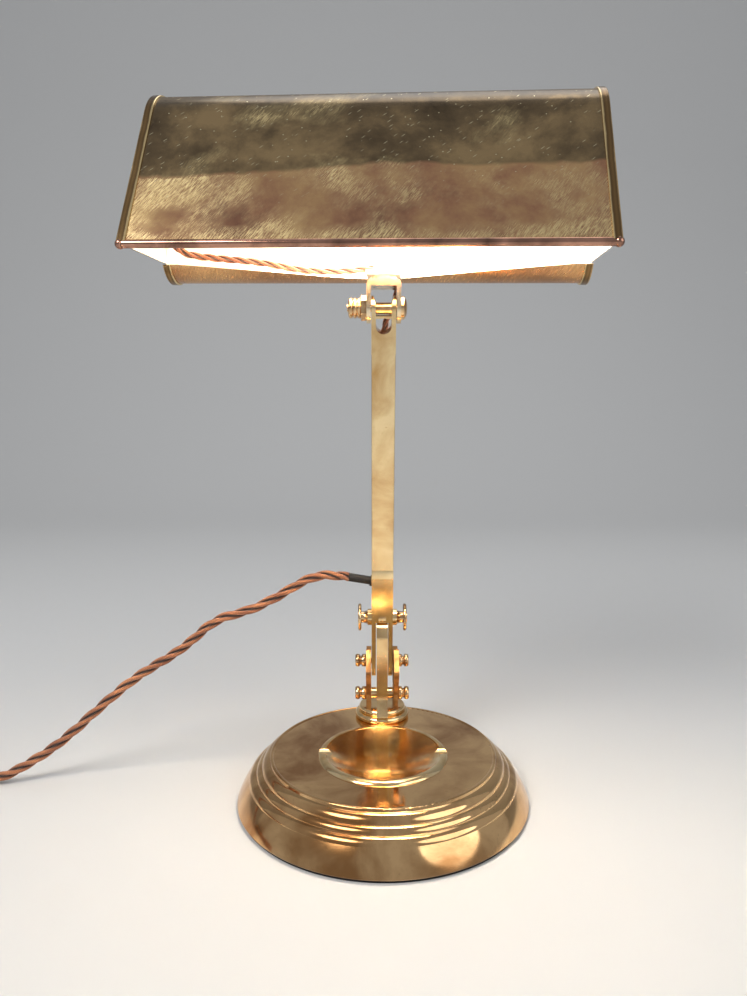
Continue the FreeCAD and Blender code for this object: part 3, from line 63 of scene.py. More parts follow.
# the shade as it hangs: the middle of its strap in metres, its roll and its turn
SHADE_MIDDLE = (-0.0055, 0.0009, 0.2915)
SHADE_ROLL = math.radians(0.64)
SHADE_TURN = math.radians(-4.4)
# a point of a line along the inside of the shade, from which its sheet faces away
SHADE_INSIDE = (0.0, 0.0005, 0.335)

# the flex has three cores that lie a little loose and don't twist quite evenly: the twist runs
# up to WANDER radians ahead and behind over each WANDER_LENGTH
CORES = 3
CORE_SIDES = 10
CORE_FIT = 0.95
FLEX_STEP = 1.5 * MM
WANDER = 0.35
WANDER_LENGTH = 117.0 * MM
INNER_FLEX_RADIUS = 2.0 * MM
INNER_FLEX_LAY = 24.0 * MM
# the loop past the upper pivot is a little thinner, and is cut in two at the first share of its
# length
TILT_FLEX_FIT = 0.95
TILT_FLEX_SHARE = 0.64
# how finely a route's smooth line is read, in points to each of its own
SPLINE_STEPS = 12

# a sheet of studio paper that curves up behind the lamp, in metres
PAPER_HALF_WIDTH = 6.0
PAPER_FRONT = -3.0
PAPER_BEND_START = 1.0
PAPER_BEND_RADIUS = 0.8
PAPER_BEND_STEPS = 12
PAPER_TOP = 4.0

# each light's name, place and width in metres, and power in watts
LIGHTS = (
    ("key_light", (-0.75, -0.85, 1.15), 0.7, 13.0),
    ("fill_light", (0.95, -0.7, 0.7), 1.1, 5.5),
    ("top_light", (0.1, 0.55, 1.5), 1.0, 4.0))
LIGHT_AIM = Vector((0, 0, 0.18))
WORLD_COLOUR = "#b4b6ba"
WORLD_STRENGTH = 0.8

# the camera, as the photograph's lines give it, with its place in metres
PHOTO_HEIGHT_PIXELS = 996.0
FOCAL_LENGTH_PIXELS = 750.0
SENSOR_MM = 36.0
EYE = (-0.0054, -0.4082, 0.22235)
EYE_DIP_DEGREES = 7.02


def linear(code):
    """An sRGB hex value as linear red, green, blue and alpha, by the standard's own curve."""
    values = []
    for i in (1, 3, 5):
        c = int(code[i:i + 2], 16) / 255
        values.append(c / 12.92 if c <= 0.04045 else ((c + 0.055) / 1.055) ** 2.4)
    return (*values, 1.0)


def add(tree, kind, inputs=None, stops=None, **settings):
    """Add a node with its settings, its links and, for a ramp, its colour stops."""
    made = tree.nodes.new(kind)
    for name, value in settings.items():
        setattr(made, name, value)
    for socket, value in (inputs or {}).items():
        if isinstance(value, bpy.types.NodeSocket):
            tree.links.new(value, made.inputs[socket])
        else:
            made.inputs[socket].default_value = value
    if stops:
        elements = made.color_ramp.elements
        while len(elements) < len(stops):
            elements.new(0.5)
        for element, (place, colour) in zip(elements, stops):
            element.position = place
            element.color = linear(colour) if isinstance(colour, str) else (colour,) * 3 + (1,)
    return made


def new_material(name):
    """An empty node material, and its tree."""
    material = bpy.data.materials.new(name)
    material.use_nodes = True
    material.node_tree.nodes.clear()
    return material, material.node_tree


def dress(material, *names):
    """Give CAD nodes a material in every slot."""
    for name in names:
        slots = nodes[name].data.materials
        for i in range(len(slots)):
            slots[i] = material
        if not slots:
            slots.append(material)


def polished_brass(name, dark, light, clean, shine, cloud):
    """Brass polished by hand many times: warm yellow, browner where the polish has missed.

    The larger clean is, the less of it is brown. shine is its least roughness, and cloud is how
    many clouds of tarnish there are to a metre.
    """
    material, tree = new_material(name)
    place = add(tree, "ShaderNodeTexCoord").outputs["Object"]
    clouds = add(tree, "ShaderNodeTexNoise", {
        "Vector": place, "Scale": cloud, "Detail": 5.0, "Roughness": 0.55, "Distortion": 0.5})
    tone = add(tree, "ShaderNodeValToRGB", {"Fac": clouds.outputs["Fac"]},
               stops=[(0.62 - clean * 0.5, dark), (0.62, light)])
    # specks of dirt about 1 mm across
    specks = add(tree, "ShaderNodeTexNoise", {
        "Vector": place, "Scale": 620.0, "Detail": 3.0, "Roughness": 0.7})
    spots = add(tree, "ShaderNodeValToRGB", {"Fac": specks.outputs["Fac"]},
                stops=[(0.66, 0.0), (0.76, 1.0)])
    colour = add(tree, "ShaderNodeMix", {
        "Factor": spots.outputs["Color"], MIX_A: tone.outputs["Color"], MIX_B: linear(dark)},
        data_type="RGBA")
    rough = add(tree, "ShaderNodeMapRange", {
        "Value": clouds.outputs["Fac"], "From Min": 0.35, "From Max": 0.65,
        "To Min": shine + 0.10, "To Max": shine})
    # slow waves left by hand polishing, about 20 mm long, and on them hairlines from the
    # polishing cloth, slanted and 0.3 mm wide
    waves = add(tree, "ShaderNodeTexNoise", {"Vector": place, "Scale": 55.0, "Detail": 1.0})
    swell = add(tree, "ShaderNodeBump", {
        "Strength": 0.10, "Distance": MM, "Height": waves.outputs["Fac"]})
    slant = add(tree, "ShaderNodeMapping", {
        "Vector": place, "Rotation": (0.0, 0.9, 0.0), "Scale": (0.3 * MM, 4 * MM, 6 * MM)},
        vector_type="TEXTURE")
    hairs = add(tree, "ShaderNodeTexNoise", {
        "Vector": slant.outputs["Vector"], "Scale": 1.0, "Detail": 3.0, "Roughness": 0.7})
    bump = add(tree, "ShaderNodeBump", {
        "Strength": 0.06, "Distance": FINE, "Height": hairs.outputs["Fac"],
        "Normal": swell.outputs["Normal"]})
    shader = add(tree, "ShaderNodeBsdfPrincipled", {
        "Base Color": colour.outputs[MIXED], "Metallic": 1.0, "Roughness": rough.outputs["Result"],
        "Normal": bump.outputs["Normal"]})
    add(tree, "ShaderNodeOutputMaterial", {"Surface": shader.outputs["BSDF"]})
    return material


def shade_frame(tree, place):
    """Length, depth and height in the shade's own square pose, from the middle of its strap."""
    own = add(tree, "ShaderNodeMapping", {
        "Vector": place, "Location": SHADE_MIDDLE, "Rotation": (0.0, SHADE_ROLL, SHADE_TURN)},
        vector_type="TEXTURE")
    return add(tree, "ShaderNodeSeparateXYZ", {"Vector": own.outputs["Vector"]})


def enamel_inside(tree, metal, away):
    """Finish a sheet with metal where away is above nought, and smooth white enamel elsewhere."""
    enamel = add(tree, "ShaderNodeBsdfPrincipled", {
        "Base Color": linear(ENAMEL_WHITE), "Roughness": 0.3})
    outside = add(tree, "ShaderNodeMath", {0: away, 1: 0.0}, operation="GREATER_THAN")
    both = add(tree, "ShaderNodeMixShader", {
        0: outside.outputs["Value"], 1: enamel.outputs["BSDF"], 2: metal.outputs["BSDF"]})
    add(tree, "ShaderNodeOutputMaterial", {"Surface": both.outputs["Shader"]})


def shade_brass():
    """Old lacquered sheet brass with rubbed golden clouds, and a painted reflection: olive above,
    brown below.
    """
    material, tree = new_material("Lacquered sheet brass over white enamel")
    coord = add(tree, "ShaderNodeTexCoord")
    place = coord.outputs["Object"]
    own = shade_frame(tree, place)
    along, height = own.outputs["X"], own.outputs["Z"]
    # clouds in the lacquer, about 60 mm across
    clouds = add(tree, "ShaderNodeTexNoise", {
        "Vector": place, "Scale": 17.0, "Detail": 7.0, "Roughness": 0.66, "Distortion": 0.15})

    # painted reflection: the upper half is darker, above a border that wanders with the clouds and
    # drops 5.5 mm to the left
    drift = add(tree, "ShaderNodeMath", {0: clouds.outputs["Fac"], 1: 16 * MM, 2: height},
                operation="MULTIPLY_ADD")
    drop = add(tree, "ShaderNodeMapRange", {
        "Value": along, "From Min": -90 * MM, "From Max": 0.0, "To Min": 5.5 * MM, "To Max": 0.0})
    raised = add(tree, "ShaderNodeMath", {0: drift.outputs["Value"], 1: drop.outputs["Result"]},
                 operation="ADD")
    upper = add(tree, "ShaderNodeMapRange", {
        "Value": raised.outputs["Value"], "From Min": 52 * MM, "From Max": 54 * MM})
    # the lower and the upper tones of the painted reflection, each clouded
    low_tone = add(tree, "ShaderNodeValToRGB", {"Fac": clouds.outputs["Fac"]},
                   stops=[(0.34, "#84594a"), (0.50, "#bb8a68"), (0.66, "#deb47e")])
    high_tone = add(tree, "ShaderNodeValToRGB", {"Fac": clouds.outputs["Fac"]},
                    stops=[(0.36, "#453829"), (0.52, "#7b674b"), (0.66, "#b0946a")])
    lacquer_and_reflection = add(tree, "ShaderNodeMix", {
        "Factor": upper.outputs["Result"], MIX_A: low_tone.outputs["Color"],
        MIX_B: high_tone.outputs["Color"]}, data_type="RGBA")

    # rubbed patches about 50 mm across, least on the upper half, most at the left and along
    # the front edge
    rubbed = add(tree, "ShaderNodeTexNoise", {
        "Vector": place, "Scale": 21.0, "Detail": 5.0, "Roughness": 0.6, "Distortion": 0.25})
    edge = add(tree, "ShaderNodeMapRange", {
        "Value": height, "From Min": 6.5 * MM, "From Max": 15.5 * MM,
        "To Min": 0.20, "To Max": 0.0})
    left = add(tree, "ShaderNodeMapRange", {
        "Value": along, "From Min": -100 * MM, "From Max": -30 * MM,
        "To Min": 0.12, "To Max": 0.0})
    below = add(tree, "ShaderNodeMath", {0: left.outputs["Result"], 1: upper.outputs["Result"]},
                operation="SUBTRACT")
    lowered = add(tree, "ShaderNodeMath", {0: below.outputs["Value"], 1: 0.0}, operation="MAXIMUM")
    most = add(tree, "ShaderNodeMath", {0: edge.outputs["Result"], 1: lowered.outputs["Value"]},
               operation="MAXIMUM")
    spread = add(tree, "ShaderNodeMath", {0: rubbed.outputs["Fac"], 1: most.outputs["Value"]},
                 operation="ADD")
    worn = add(tree, "ShaderNodeMath", {
        0: upper.outputs["Result"], 1: -0.05, 2: spread.outputs["Value"]}, operation="MULTIPLY_ADD")
    patch = add(tree, "ShaderNodeValToRGB", {"Fac": worn.outputs["Value"]},
                stops=[(0.49, 0.0), (0.67, 1.0)])
    # the patches are broken into slanting hairlines, 0.34 mm wide and 4 mm long
    slant = add(tree, "ShaderNodeMapping", {
        "Vector": place, "Rotation": (0.0, 0.66, 0.0), "Scale": (0.34 * MM, 4 * MM, 4.2 * MM)},
        vector_type="TEXTURE")
    hairs = add(tree, "ShaderNodeTexNoise", {
        "Vector": slant.outputs["Vector"], "Scale": 1.0, "Detail": 3.0, "Roughness": 0.65,
        "Distortion": 0.4})
    lines = add(tree, "ShaderNodeMapRange", {
        "Value": hairs.outputs["Fac"], "From Min": 0.40, "From Max": 0.62,
        "To Min": 0.12, "To Max": 1.0})
    wear = add(tree, "ShaderNodeMath", {0: patch.outputs["Color"], 1: lines.outputs["Result"]},
               operation="MULTIPLY")
    golden = add(tree, "ShaderNodeMix", {
        "Factor": wear.outputs["Value"], MIX_A: lacquer_and_reflection.outputs[MIXED], MIX_B: linear("#eed69c")},
        data_type="RGBA")

    # the rolled underside is golden, with browner lengths about 90 mm long
    rolls = add(tree, "ShaderNodeTexNoise", {"Vector": place, "Scale": 11.0, "Detail": 3.0})
    roll_tone = add(tree, "ShaderNodeValToRGB", {"Fac": rolls.outputs["Fac"]},
                    stops=[(0.36, "#96694c"), (0.50, "#c39263"), (0.64, "#dcae78")])
    under = add(tree, "ShaderNodeMapRange", {
        "Value": height, "From Min": 7.0 * MM, "From Max": 3.5 * MM})
    rolled = add(tree, "ShaderNodeMix", {
        "Factor": under.outputs["Result"], MIX_A: golden.outputs[MIXED],
        MIX_B: roll_tone.outputs["Color"]}, data_type="RGBA")
    # painted shade: towards the top of the ridge the colour is darkened to a dull olive brown
    ridge_shade = add(tree, "ShaderNodeMapRange", {
        "Value": height, "From Min": 78 * MM, "From Max": 89 * MM, "To Min": 0.0, "To Max": 0.7})
    ridge_shaded = add(tree, "ShaderNodeMix", {
        "Factor": ridge_shade.outputs["Result"], MIX_A: rolled.outputs[MIXED], MIX_B: linear("#40382b")},
        data_type="RGBA")

    # bright nicks about 0.5 mm across and slanting scratches about 3 mm long, most on the
    # upper half
    dots = add(tree, "ShaderNodeTexVoronoi", {"Vector": place, "Scale": 230.0})
    nick = add(tree, "ShaderNodeValToRGB", {"Fac": dots.outputs["Distance"]},
               stops=[(0.05, 1.0), (0.09, 0.0)])
    stretch = add(tree, "ShaderNodeMapping", {
        "Vector": place, "Rotation": (0.0, 0.95, 0.0), "Scale": (1.1 * MM, 20 * MM, 13 * MM)},
        vector_type="TEXTURE")
    cells = add(tree, "ShaderNodeTexVoronoi", {"Vector": stretch.outputs["Vector"], "Scale": 1.0})
    cut = add(tree, "ShaderNodeValToRGB", {"Fac": cells.outputs["Distance"]},
              stops=[(0.065, 1.0), (0.12, 0.0)])
    marks = add(tree, "ShaderNodeMath", {0: nick.outputs["Color"], 1: cut.outputs["Color"]},
                operation="MAXIMUM")
    some = add(tree, "ShaderNodeMapRange", {
        "Value": raised.outputs["Value"], "From Min": 20 * MM, "From Max": 60 * MM,
        "To Min": 0.0, "To Max": 0.95})
    shown = add(tree, "ShaderNodeMath", {0: marks.outputs["Value"], 1: some.outputs["Result"]},
                operation="MULTIPLY")
    colour = add(tree, "ShaderNodeMix", {
        "Factor": shown.outputs["Value"], MIX_A: ridge_shaded.outputs[MIXED], MIX_B: linear("#f8ecc4")},
        data_type="RGBA")

    # the hairlines and the ridge are less glossy than the whole, unworn sheet
    matt = add(tree, "ShaderNodeMapRange", {
        "Value": wear.outputs["Value"], "To Min": 0.20, "To Max": 0.38})
    rough = add(tree, "ShaderNodeMath", {0: matt.outputs["Result"], 1: ridge_shade.outputs["Result"]},
                operation="MAXIMUM")
    bump = add(tree, "ShaderNodeBump", {
        "Strength": 0.10, "Distance": FINE, "Height": hairs.outputs["Fac"]})
    metal = add(tree, "ShaderNodeBsdfPrincipled", {
        "Base Color": colour.outputs[MIXED], "Metallic": 1.0, "Roughness": rough.outputs["Value"],
        "Normal": bump.outputs["Normal"], "Coat Weight": 0.15, "Coat Roughness": 0.12})

    # a face is outside where its normal points away from a line inside the shade
    from_line = add(tree, "ShaderNodeVectorMath", {0: place, 1: SHADE_INSIDE}, operation="SUBTRACT")
    flat = add(tree, "ShaderNodeVectorMath", {0: from_line.outputs["Vector"], 1: (0.0, 1.0, 1.0)},
               operation="MULTIPLY")
    away = add(tree, "ShaderNodeVectorMath", {
        0: flat.outputs["Vector"], 1: coord.outputs["Normal"]}, operation="DOT_PRODUCT")
    enamel_inside(tree, metal, away.outputs["Value"])
    return material


def band_brass():
    """Sheet brass bands: dull olive, with painted highlights along both edges."""
    material, tree = new_material("Sheet brass bands, bright edges")
    place = add(tree, "ShaderNodeTexCoord").outputs["Object"]
    along = add(tree, "ShaderNodeMath", {0: shade_frame(tree, place).outputs["X"]},
                operation="ABSOLUTE")
    clouds = add(tree, "ShaderNodeTexNoise", {
        "Vector": place, "Scale": 60.0, "Detail": 5.0, "Roughness": 0.6})
    # across a band's 4.7 mm, from its inner edge to its outer one
    wobble = add(tree, "ShaderNodeMath", {
        0: clouds.outputs["Fac"], 1: 1.4 * MM, 2: along.outputs["Value"]},
        operation="MULTIPLY_ADD")
    share = add(tree, "ShaderNodeMapRange", {
        "Value": wobble.outputs["Value"], "From Min": 110.7 * MM, "From Max": 115.4 * MM})
    # the bright stops at both edges are painted highlights
    tone = add(tree, "ShaderNodeValToRGB", {"Fac": share.outputs["Result"]},
               stops=[(0.10, "#ecd09a"), (0.26, "#6b5438"), (0.55, "#8a6d47"), (0.78, "#70583a"),
                      (0.95, "#e2c08c")])
    # grain about 1 mm across
    grain = add(tree, "ShaderNodeTexNoise", {"Vector": place, "Scale": 900.0, "Detail": 3.0})
    bump = add(tree, "ShaderNodeBump", {
        "Strength": 0.12, "Distance": FINE, "Height": grain.outputs["Fac"]})
    rough = add(tree, "ShaderNodeMapRange", {
        "Value": clouds.outputs["Fac"], "To Min": 0.14, "To Max": 0.30})
    shader = add(tree, "ShaderNodeBsdfPrincipled", {
        "Base Color": tone.outputs["Color"], "Metallic": 1.0, "Roughness": rough.outputs["Result"],
        "Normal": bump.outputs["Normal"]})
    add(tree, "ShaderNodeOutputMaterial", {"Surface": shader.outputs["BSDF"]})
    return material


def end_brass():
    """Browned sheet brass, cloudy and half dull, on the outer faces of the shade's ends."""
    material, tree = new_material("Browned sheet brass over white enamel")
    coord = add(tree, "ShaderNodeTexCoord")
    clouds = add(tree, "ShaderNodeTexNoise", {
        "Vector": coord.outputs["Object"], "Scale": 30.0, "Detail": 6.0, "Roughness": 0.65})
    tone = add(tree, "ShaderNodeValToRGB", {"Fac": clouds.outputs["Fac"]},
               stops=[(0.32, "#56452f"), (0.52, "#846a48"), (0.70, "#b4945f")])
    metal = add(tree, "ShaderNodeBsdfPrincipled", {
        "Base Color": tone.outputs["Color"], "Metallic": 1.0, "Roughness": 0.3})
    # a face is outside where it looks to the side on which it lies
    side, facing = (add(tree, "ShaderNodeSeparateXYZ", {"Vector": coord.outputs[name]})
                    for name in ("Object", "Normal"))
    away = add(tree, "ShaderNodeMath", {0: side.outputs["X"], 1: facing.outputs["X"]},
               operation="MULTIPLY")
    enamel_inside(tree, metal, away.outputs["Value"])
    return material


def braided_cotton(name, dark, light):
    """Braided cotton over each core of the flex: matt terracotta brown with a fine weave."""
    material, tree = new_material(name)
    uv = add(tree, "ShaderNodeUVMap", uv_map="along").outputs["UV"]
    # a braid's threads lie 0.35 mm apart, which is too fine to show, so the weave is drawn
    # about twice as coarse: 9 checks round the core, and 1600 to a metre along it
    checks = add(tree, "ShaderNodeMapping", {"Vector": uv, "Scale": (9.0, 1600.0, 1.0)})
    weave = add(tree, "ShaderNodeTexChecker", {"Vector": checks.outputs["Vector"], "Scale": 1.0})
    # loose fibres, and fading in patches about 17 mm long
    place = add(tree, "ShaderNodeTexCoord").outputs["Object"]
    fuzz = add(tree, "ShaderNodeTexNoise", {"Vector": place, "Scale": 1800.0, "Detail": 2.0})
    fade = add(tree, "ShaderNodeTexNoise", {"Vector": place, "Scale": 60.0, "Detail": 3.0})
    tone = add(tree, "ShaderNodeValToRGB", {"Fac": fade.outputs["Fac"]},
               stops=[(0.3, dark), (0.7, light)])
    woven = add(tree, "ShaderNodeMix", {
        "Factor": 0.25, MIX_A: tone.outputs["Color"], MIX_B: weave.outputs["Color"]},
        data_type="RGBA", blend_type="MULTIPLY")
    # painted shade: each core is darkened on the side that faces the others, half a turn round it
    turned = add(tree, "ShaderNodeSeparateXYZ", {"Vector": uv}).outputs["X"]
    past = add(tree, "ShaderNodeMath", {0: turned, 1: 0.5}, operation="SUBTRACT")
    far = add(tree, "ShaderNodeMath", {0: past.outputs["Value"]}, operation="ABSOLUTE")
    core_shade = add(tree, "ShaderNodeMapRange", {
        "Value": far.outputs["Value"], "From Min": 0.20, "From Max": 0.36,
        "To Min": 0.12, "To Max": 1.0})
    deep = add(tree, "ShaderNodeMix", {
        "Factor": core_shade.outputs["Result"], MIX_A: linear("#1f0f09"), MIX_B: woven.outputs[MIXED]},
        data_type="RGBA")
    height = add(tree, "ShaderNodeMath", {0: weave.outputs["Fac"], 1: fuzz.outputs["Fac"]},
                 operation="ADD")
    bump = add(tree, "ShaderNodeBump", {
        "Strength": 0.5, "Distance": FINE, "Height": height.outputs["Value"]})
    shader = add(tree, "ShaderNodeBsdfPrincipled", {
        "Base Color": deep.outputs[MIXED], "Roughness": 0.85, "Sheen Weight": 0.35,
        "Sheen Roughness": 0.5, "Normal": bump.outputs["Normal"]})
    add(tree, "ShaderNodeOutputMaterial", {"Surface": shader.outputs["BSDF"]})
    return material


def plain(name, colour, roughness, grain, spread, lift, metallic=0.0, coat=0.0):
    """A plain finish with a little unevenness.

    grain is how many grains there are to a metre, spread how far the tone varies, and lift how
    strongly the grains stand out.
    """
    material, tree = new_material(name)
    place = add(tree, "ShaderNodeTexCoord").outputs["Object"]
    noise = add(tree, "ShaderNodeTexNoise", {"Vector": place, "Scale": grain, "Detail": 4.0})
    value = add(tree, "ShaderNodeMapRange", {
        "Value": noise.outputs["Fac"], "To Min": 1 - spread * 2, "To Max": 1 + spread * 2})
    tone = add(tree, "ShaderNodeHueSaturation", {
        "Color": linear(colour), "Value": value.outputs["Result"]})
    bump = add(tree, "ShaderNodeBump", {
        "Strength": lift, "Distance": FINE, "Height": noise.outputs["Fac"]})
    shader = add(tree, "ShaderNodeBsdfPrincipled", {
        "Base Color": tone.outputs["Color"], "Roughness": roughness, "Metallic": metallic,
        "Coat Weight": coat, "Normal": bump.outputs["Normal"]})
    add(tree, "ShaderNodeOutputMaterial", {"Surface": shader.outputs["BSDF"]})
    return material


def glowing(name, colour, strength):
    """Lit glass or wire, with the warm even glow of a filament lamp."""
    material, tree = new_material(name)
    shader = add(tree, "ShaderNodeBsdfPrincipled", {
        "Base Color": linear("#fff4e0"), "Roughness": 0.35, "Emission Color": linear(colour),
        "Emission Strength": strength})
    add(tree, "ShaderNodeOutputMaterial", {"Surface": shader.outputs["BSDF"]})
    return material


def studio_paper_finish(colour):
    """Matt studio paper: a pale tone that varies by 1.5 % at most."""
    material, tree = new_material("Pale matt studio paper")
    noise = add(tree, "ShaderNodeTexNoise", {"Scale": 4.0, "Detail": 2.0})
    value = add(tree, "ShaderNodeMapRange", {
        "Value": noise.outputs["Fac"], "To Min": 0.985, "To Max": 1.015})
    tone = add(tree, "ShaderNodeHueSaturation", {
        "Color": tuple(colour), "Value": value.outputs["Result"]})
    shader = add(tree, "ShaderNodeBsdfPrincipled", {
        "Base Color": tone.outputs["Color"], "Roughness": 0.8})
    add(tree, "ShaderNodeOutputMaterial", {"Surface": shader.outputs["BSDF"]})
    return material


def new_object(name, body, material):
    """A linked object made of a bmesh, which is used up, in one material."""
    mesh = bpy.data.meshes.new(name)
    body.to_mesh(mesh)
    body.free()
    mesh.materials.append(material)
    made = bpy.data.objects.new(name, mesh)
    bpy.context.scene.collection.objects.link(made)
    return made


def spline_points(points):
    """Points along the smooth NURBS line that has these control points."""
    curve = bpy.data.curves.new("route", "CURVE")
    curve.dimensions = "3D"
    curve.resolution_u = SPLINE_STEPS
    spline = curve.splines.new("NURBS")
    spline.points.add(len(points) - 1)
    for knot, point in zip(spline.points, points):
        knot.co = (*point, 1.0)
    spline.order_u = 3
    spline.use_endpoint_u = True
    holder = bpy.data.objects.new("route", curve)
    bpy.context.scene.collection.objects.link(holder)
    bpy.context.view_layer.update()
    graph = bpy.context.evaluated_depsgraph_get()
    mesh = bpy.data.meshes.new_from_object(holder.evaluated_get(graph))
    line = [vertex.co.copy() for vertex in mesh.vertices]
    bpy.data.meshes.remove(mesh)
    bpy.data.objects.remove(holder)
    bpy.data.curves.remove(curve)
    return line


def even_points(line):
    """The same line with its points a step apart, and a shorter step last.

    Where that last step would be under a fifth of a whole one, the line ends a little early.
    """
    made = [line[0].copy()]
    left = FLEX_STEP
    for a, b in zip(line, line[1:]):
        run = (b - a).length
        while run > 0 and left <= run:
            a = a + (b - a) * (left / run)
            run = (b - a).length
            made.append(a.copy())
            left = FLEX_STEP
        left -= run
    if (made[-1] - line[-1]).length > FLEX_STEP / 5:
        made.append(line[-1].copy())
    return made


def headings(line):
    """The direction of travel at each point of a line."""
    last = len(line) - 1
    return [(line[min(i + 1, last)] - line[max(i - 1, 0)]).normalized() for i in range(last + 1)]


def swung(a, b, turn):
    """The direction that lies a turn from a towards b."""
    return a * math.cos(turn) + b * math.sin(turn)


def twisted_flex(name, line, radius, lay, material, travelled=0.0):
    """Cores twisted loosely about a line of even points, each a round tube, as one mesh.

    radius is over all the cores, lay is the length of a full twist, and travelled is how far
    the flex has come before this piece of it.
    """
    # three circles that touch fit in one 1 + 2 / sqrt(3) times as wide
    core = CORE_FIT * radius / (1 + 2 / math.sqrt(3))
    out = radius - core
    ways = headings(line)
    side = ways[0].orthogonal().normalized()
    frames = []
    for way in ways:
        side = (side - way * side.dot(way)).normalized()
        frames.append((side.copy(), way.cross(side)))
    body = bmesh.new()
    uv = body.loops.layers.uv.new("along")
    for c in range(CORES):
        centres = []
        for i, (point, (a, b)) in enumerate(zip(line, frames)):
            travel = travelled + i * FLEX_STEP
            turn = math.tau * (c / CORES + travel / lay)
            turn += WANDER * math.sin(math.tau * travel / WANDER_LENGTH)
            centres.append(point + swung(a, b, turn) * out)
        # each ring starts on its outer side, away from the line
        rings = []
        for point, middle, way in zip(centres, line, headings(centres)):
            a = point - middle
            a = (a - way * a.dot(way)).normalized()
            b = way.cross(a)
            rings.append([body.verts.new(point + swung(a, b, math.tau * k / CORE_SIDES) * core)
                          for k in range(CORE_SIDES)])
        for i, (ring, following) in enumerate(zip(rings, rings[1:])):
            for k in range(CORE_SIDES):
                n = (k + 1) % CORE_SIDES
                face = body.faces.new((ring[k], ring[n], following[n], following[k]))
                face.smooth = True
                corners = ((k, i), (k + 1, i), (k + 1, i + 1), (k, i + 1))
                for loop, (u, v) in zip(face.loops, corners):
                    loop[uv].uv = (u / CORE_SIDES, v * FLEX_STEP)
        body.faces.new(list(reversed(rings[0])))
        body.faces.new(rings[-1])
    return new_object(name, body, material)


def metres(*points):
    """Points in millimetres as vectors in metres."""
    return [Vector(point) * MM for point in points]


# The flex's routes have the model's points, but for the four of holder_route at the shade's left
# end, which lie up to 5 mm nearer to its end wall, to follow the photograph
cord_route = metres(
    (-20.53, 42.18, 118.1), (-33.34, 41.6, 120.28), (-46.5, 38.6, 117.6), (-61.5, 36.4, 108.4),
    (-80.0, 33.6, 99.3), (-101.0, 30.6, 95.0), (-119.5, 27.9, 77.4), (-146.0, 24.0, 62.6),
    (-167.0, 20.8, 45.4), (-191.0, 17.3, 23.5), (-210.0, 14.4, 11.5), (-226.0, 12.2, 3.3),
    (-244.0, 10.5, 3.1), (-271.0, 10.5, 3.1))
stem_route = metres(
    (-20.53, 42.18, 118.1), (-3.0, 43.0, 115.1), (0.0, 42.3, 117.6), (0.0, 40.48, 124.46),
    (0.0, 15.91, 216.18), (0.0, 20.57, 232.96), (0.0, 15.08, 253.43))
tilt_route = metres(
    (0.0, 15.08, 253.43), (0.0, 13.27, 260.2), (1.5, 13.88, 269.43), (7.95, 20.4, 282.13),
    (8.04, 20.4, 290.13))
holder_route = metres(
    (8.04, 20.4, 290.13), (8.12, 20.39, 297.13), (-2.91, 20.24, 298.55), (-22.08, 19.2, 295.77),
    (-44.24, 17.9, 296.01), (-66.44, 15.6, 300.26), (-88.0, 13.0, 301.6), (-107.5, 11.1, 303.3),
    (-114.6, 10.04, 309.6), (-113.4, 7.08, 325.46), (-111.67, 5.03, 337.29),
    (-109.63, 4.88, 341.27), (-88.0, 3.21, 341.03))

# the coil, in millimetres and turns, as in the model
cord_radius = 3.0
coil_middle_x = -277.0
coil_back_y = 10.5
coil_middle_radius = 34.5
coil_pitch = 6.6
coil_lift = 0.1
coil_layer_turns = 3.25
coil_climb_turns = 0.5
coil_turn_points = 24
coil_tail = 28.0


def coil_point(travel):
    """A point of the coil by turns travelled: in along the floor, a climb, and out above."""
    low = cord_radius + coil_lift
    climb_end = coil_layer_turns + coil_climb_turns
    outer = coil_middle_radius + coil_layer_turns * coil_pitch / 2
    inner = outer - coil_layer_turns * coil_pitch
    if travel <= coil_layer_turns:
        radius, z = outer - travel * coil_pitch, low
    elif travel <= climb_end:
        share = (travel - coil_layer_turns) / coil_climb_turns
        radius = inner - coil_pitch / 2 * share * (1 - share)
        z = low + coil_pitch * (1 - math.cos(math.pi * share)) / 2
    else:
        radius, z = inner + (travel - climb_end) * coil_pitch, low + coil_pitch
    turn = math.pi / 2 + math.tau * travel
    return Vector((coil_middle_x + radius * math.cos(turn),
                   coil_back_y - outer + radius * math.sin(turn), z)) * MM


class LampSizes(bpy.types.PropertyGroup):
    """Sizes that the dressing uses."""

    flex_lay: bpy.props.FloatProperty(
        name="Flex lay", description="Length of one full twist of the flex", default=0.038,
        unit="LENGTH")
    bulb_glow: bpy.props.FloatProperty(
        name="Bulb glow", description="How brightly the lamp's glass shines", default=60.0)


class LampColours(bpy.types.PropertyGroup):
    """Colours that the dressing uses."""

    floor: bpy.props.FloatVectorProperty(
        name="Floor", description="Colour of the floor and backdrop", subtype="COLOR", size=4,
        default=linear("#cfcfce"))


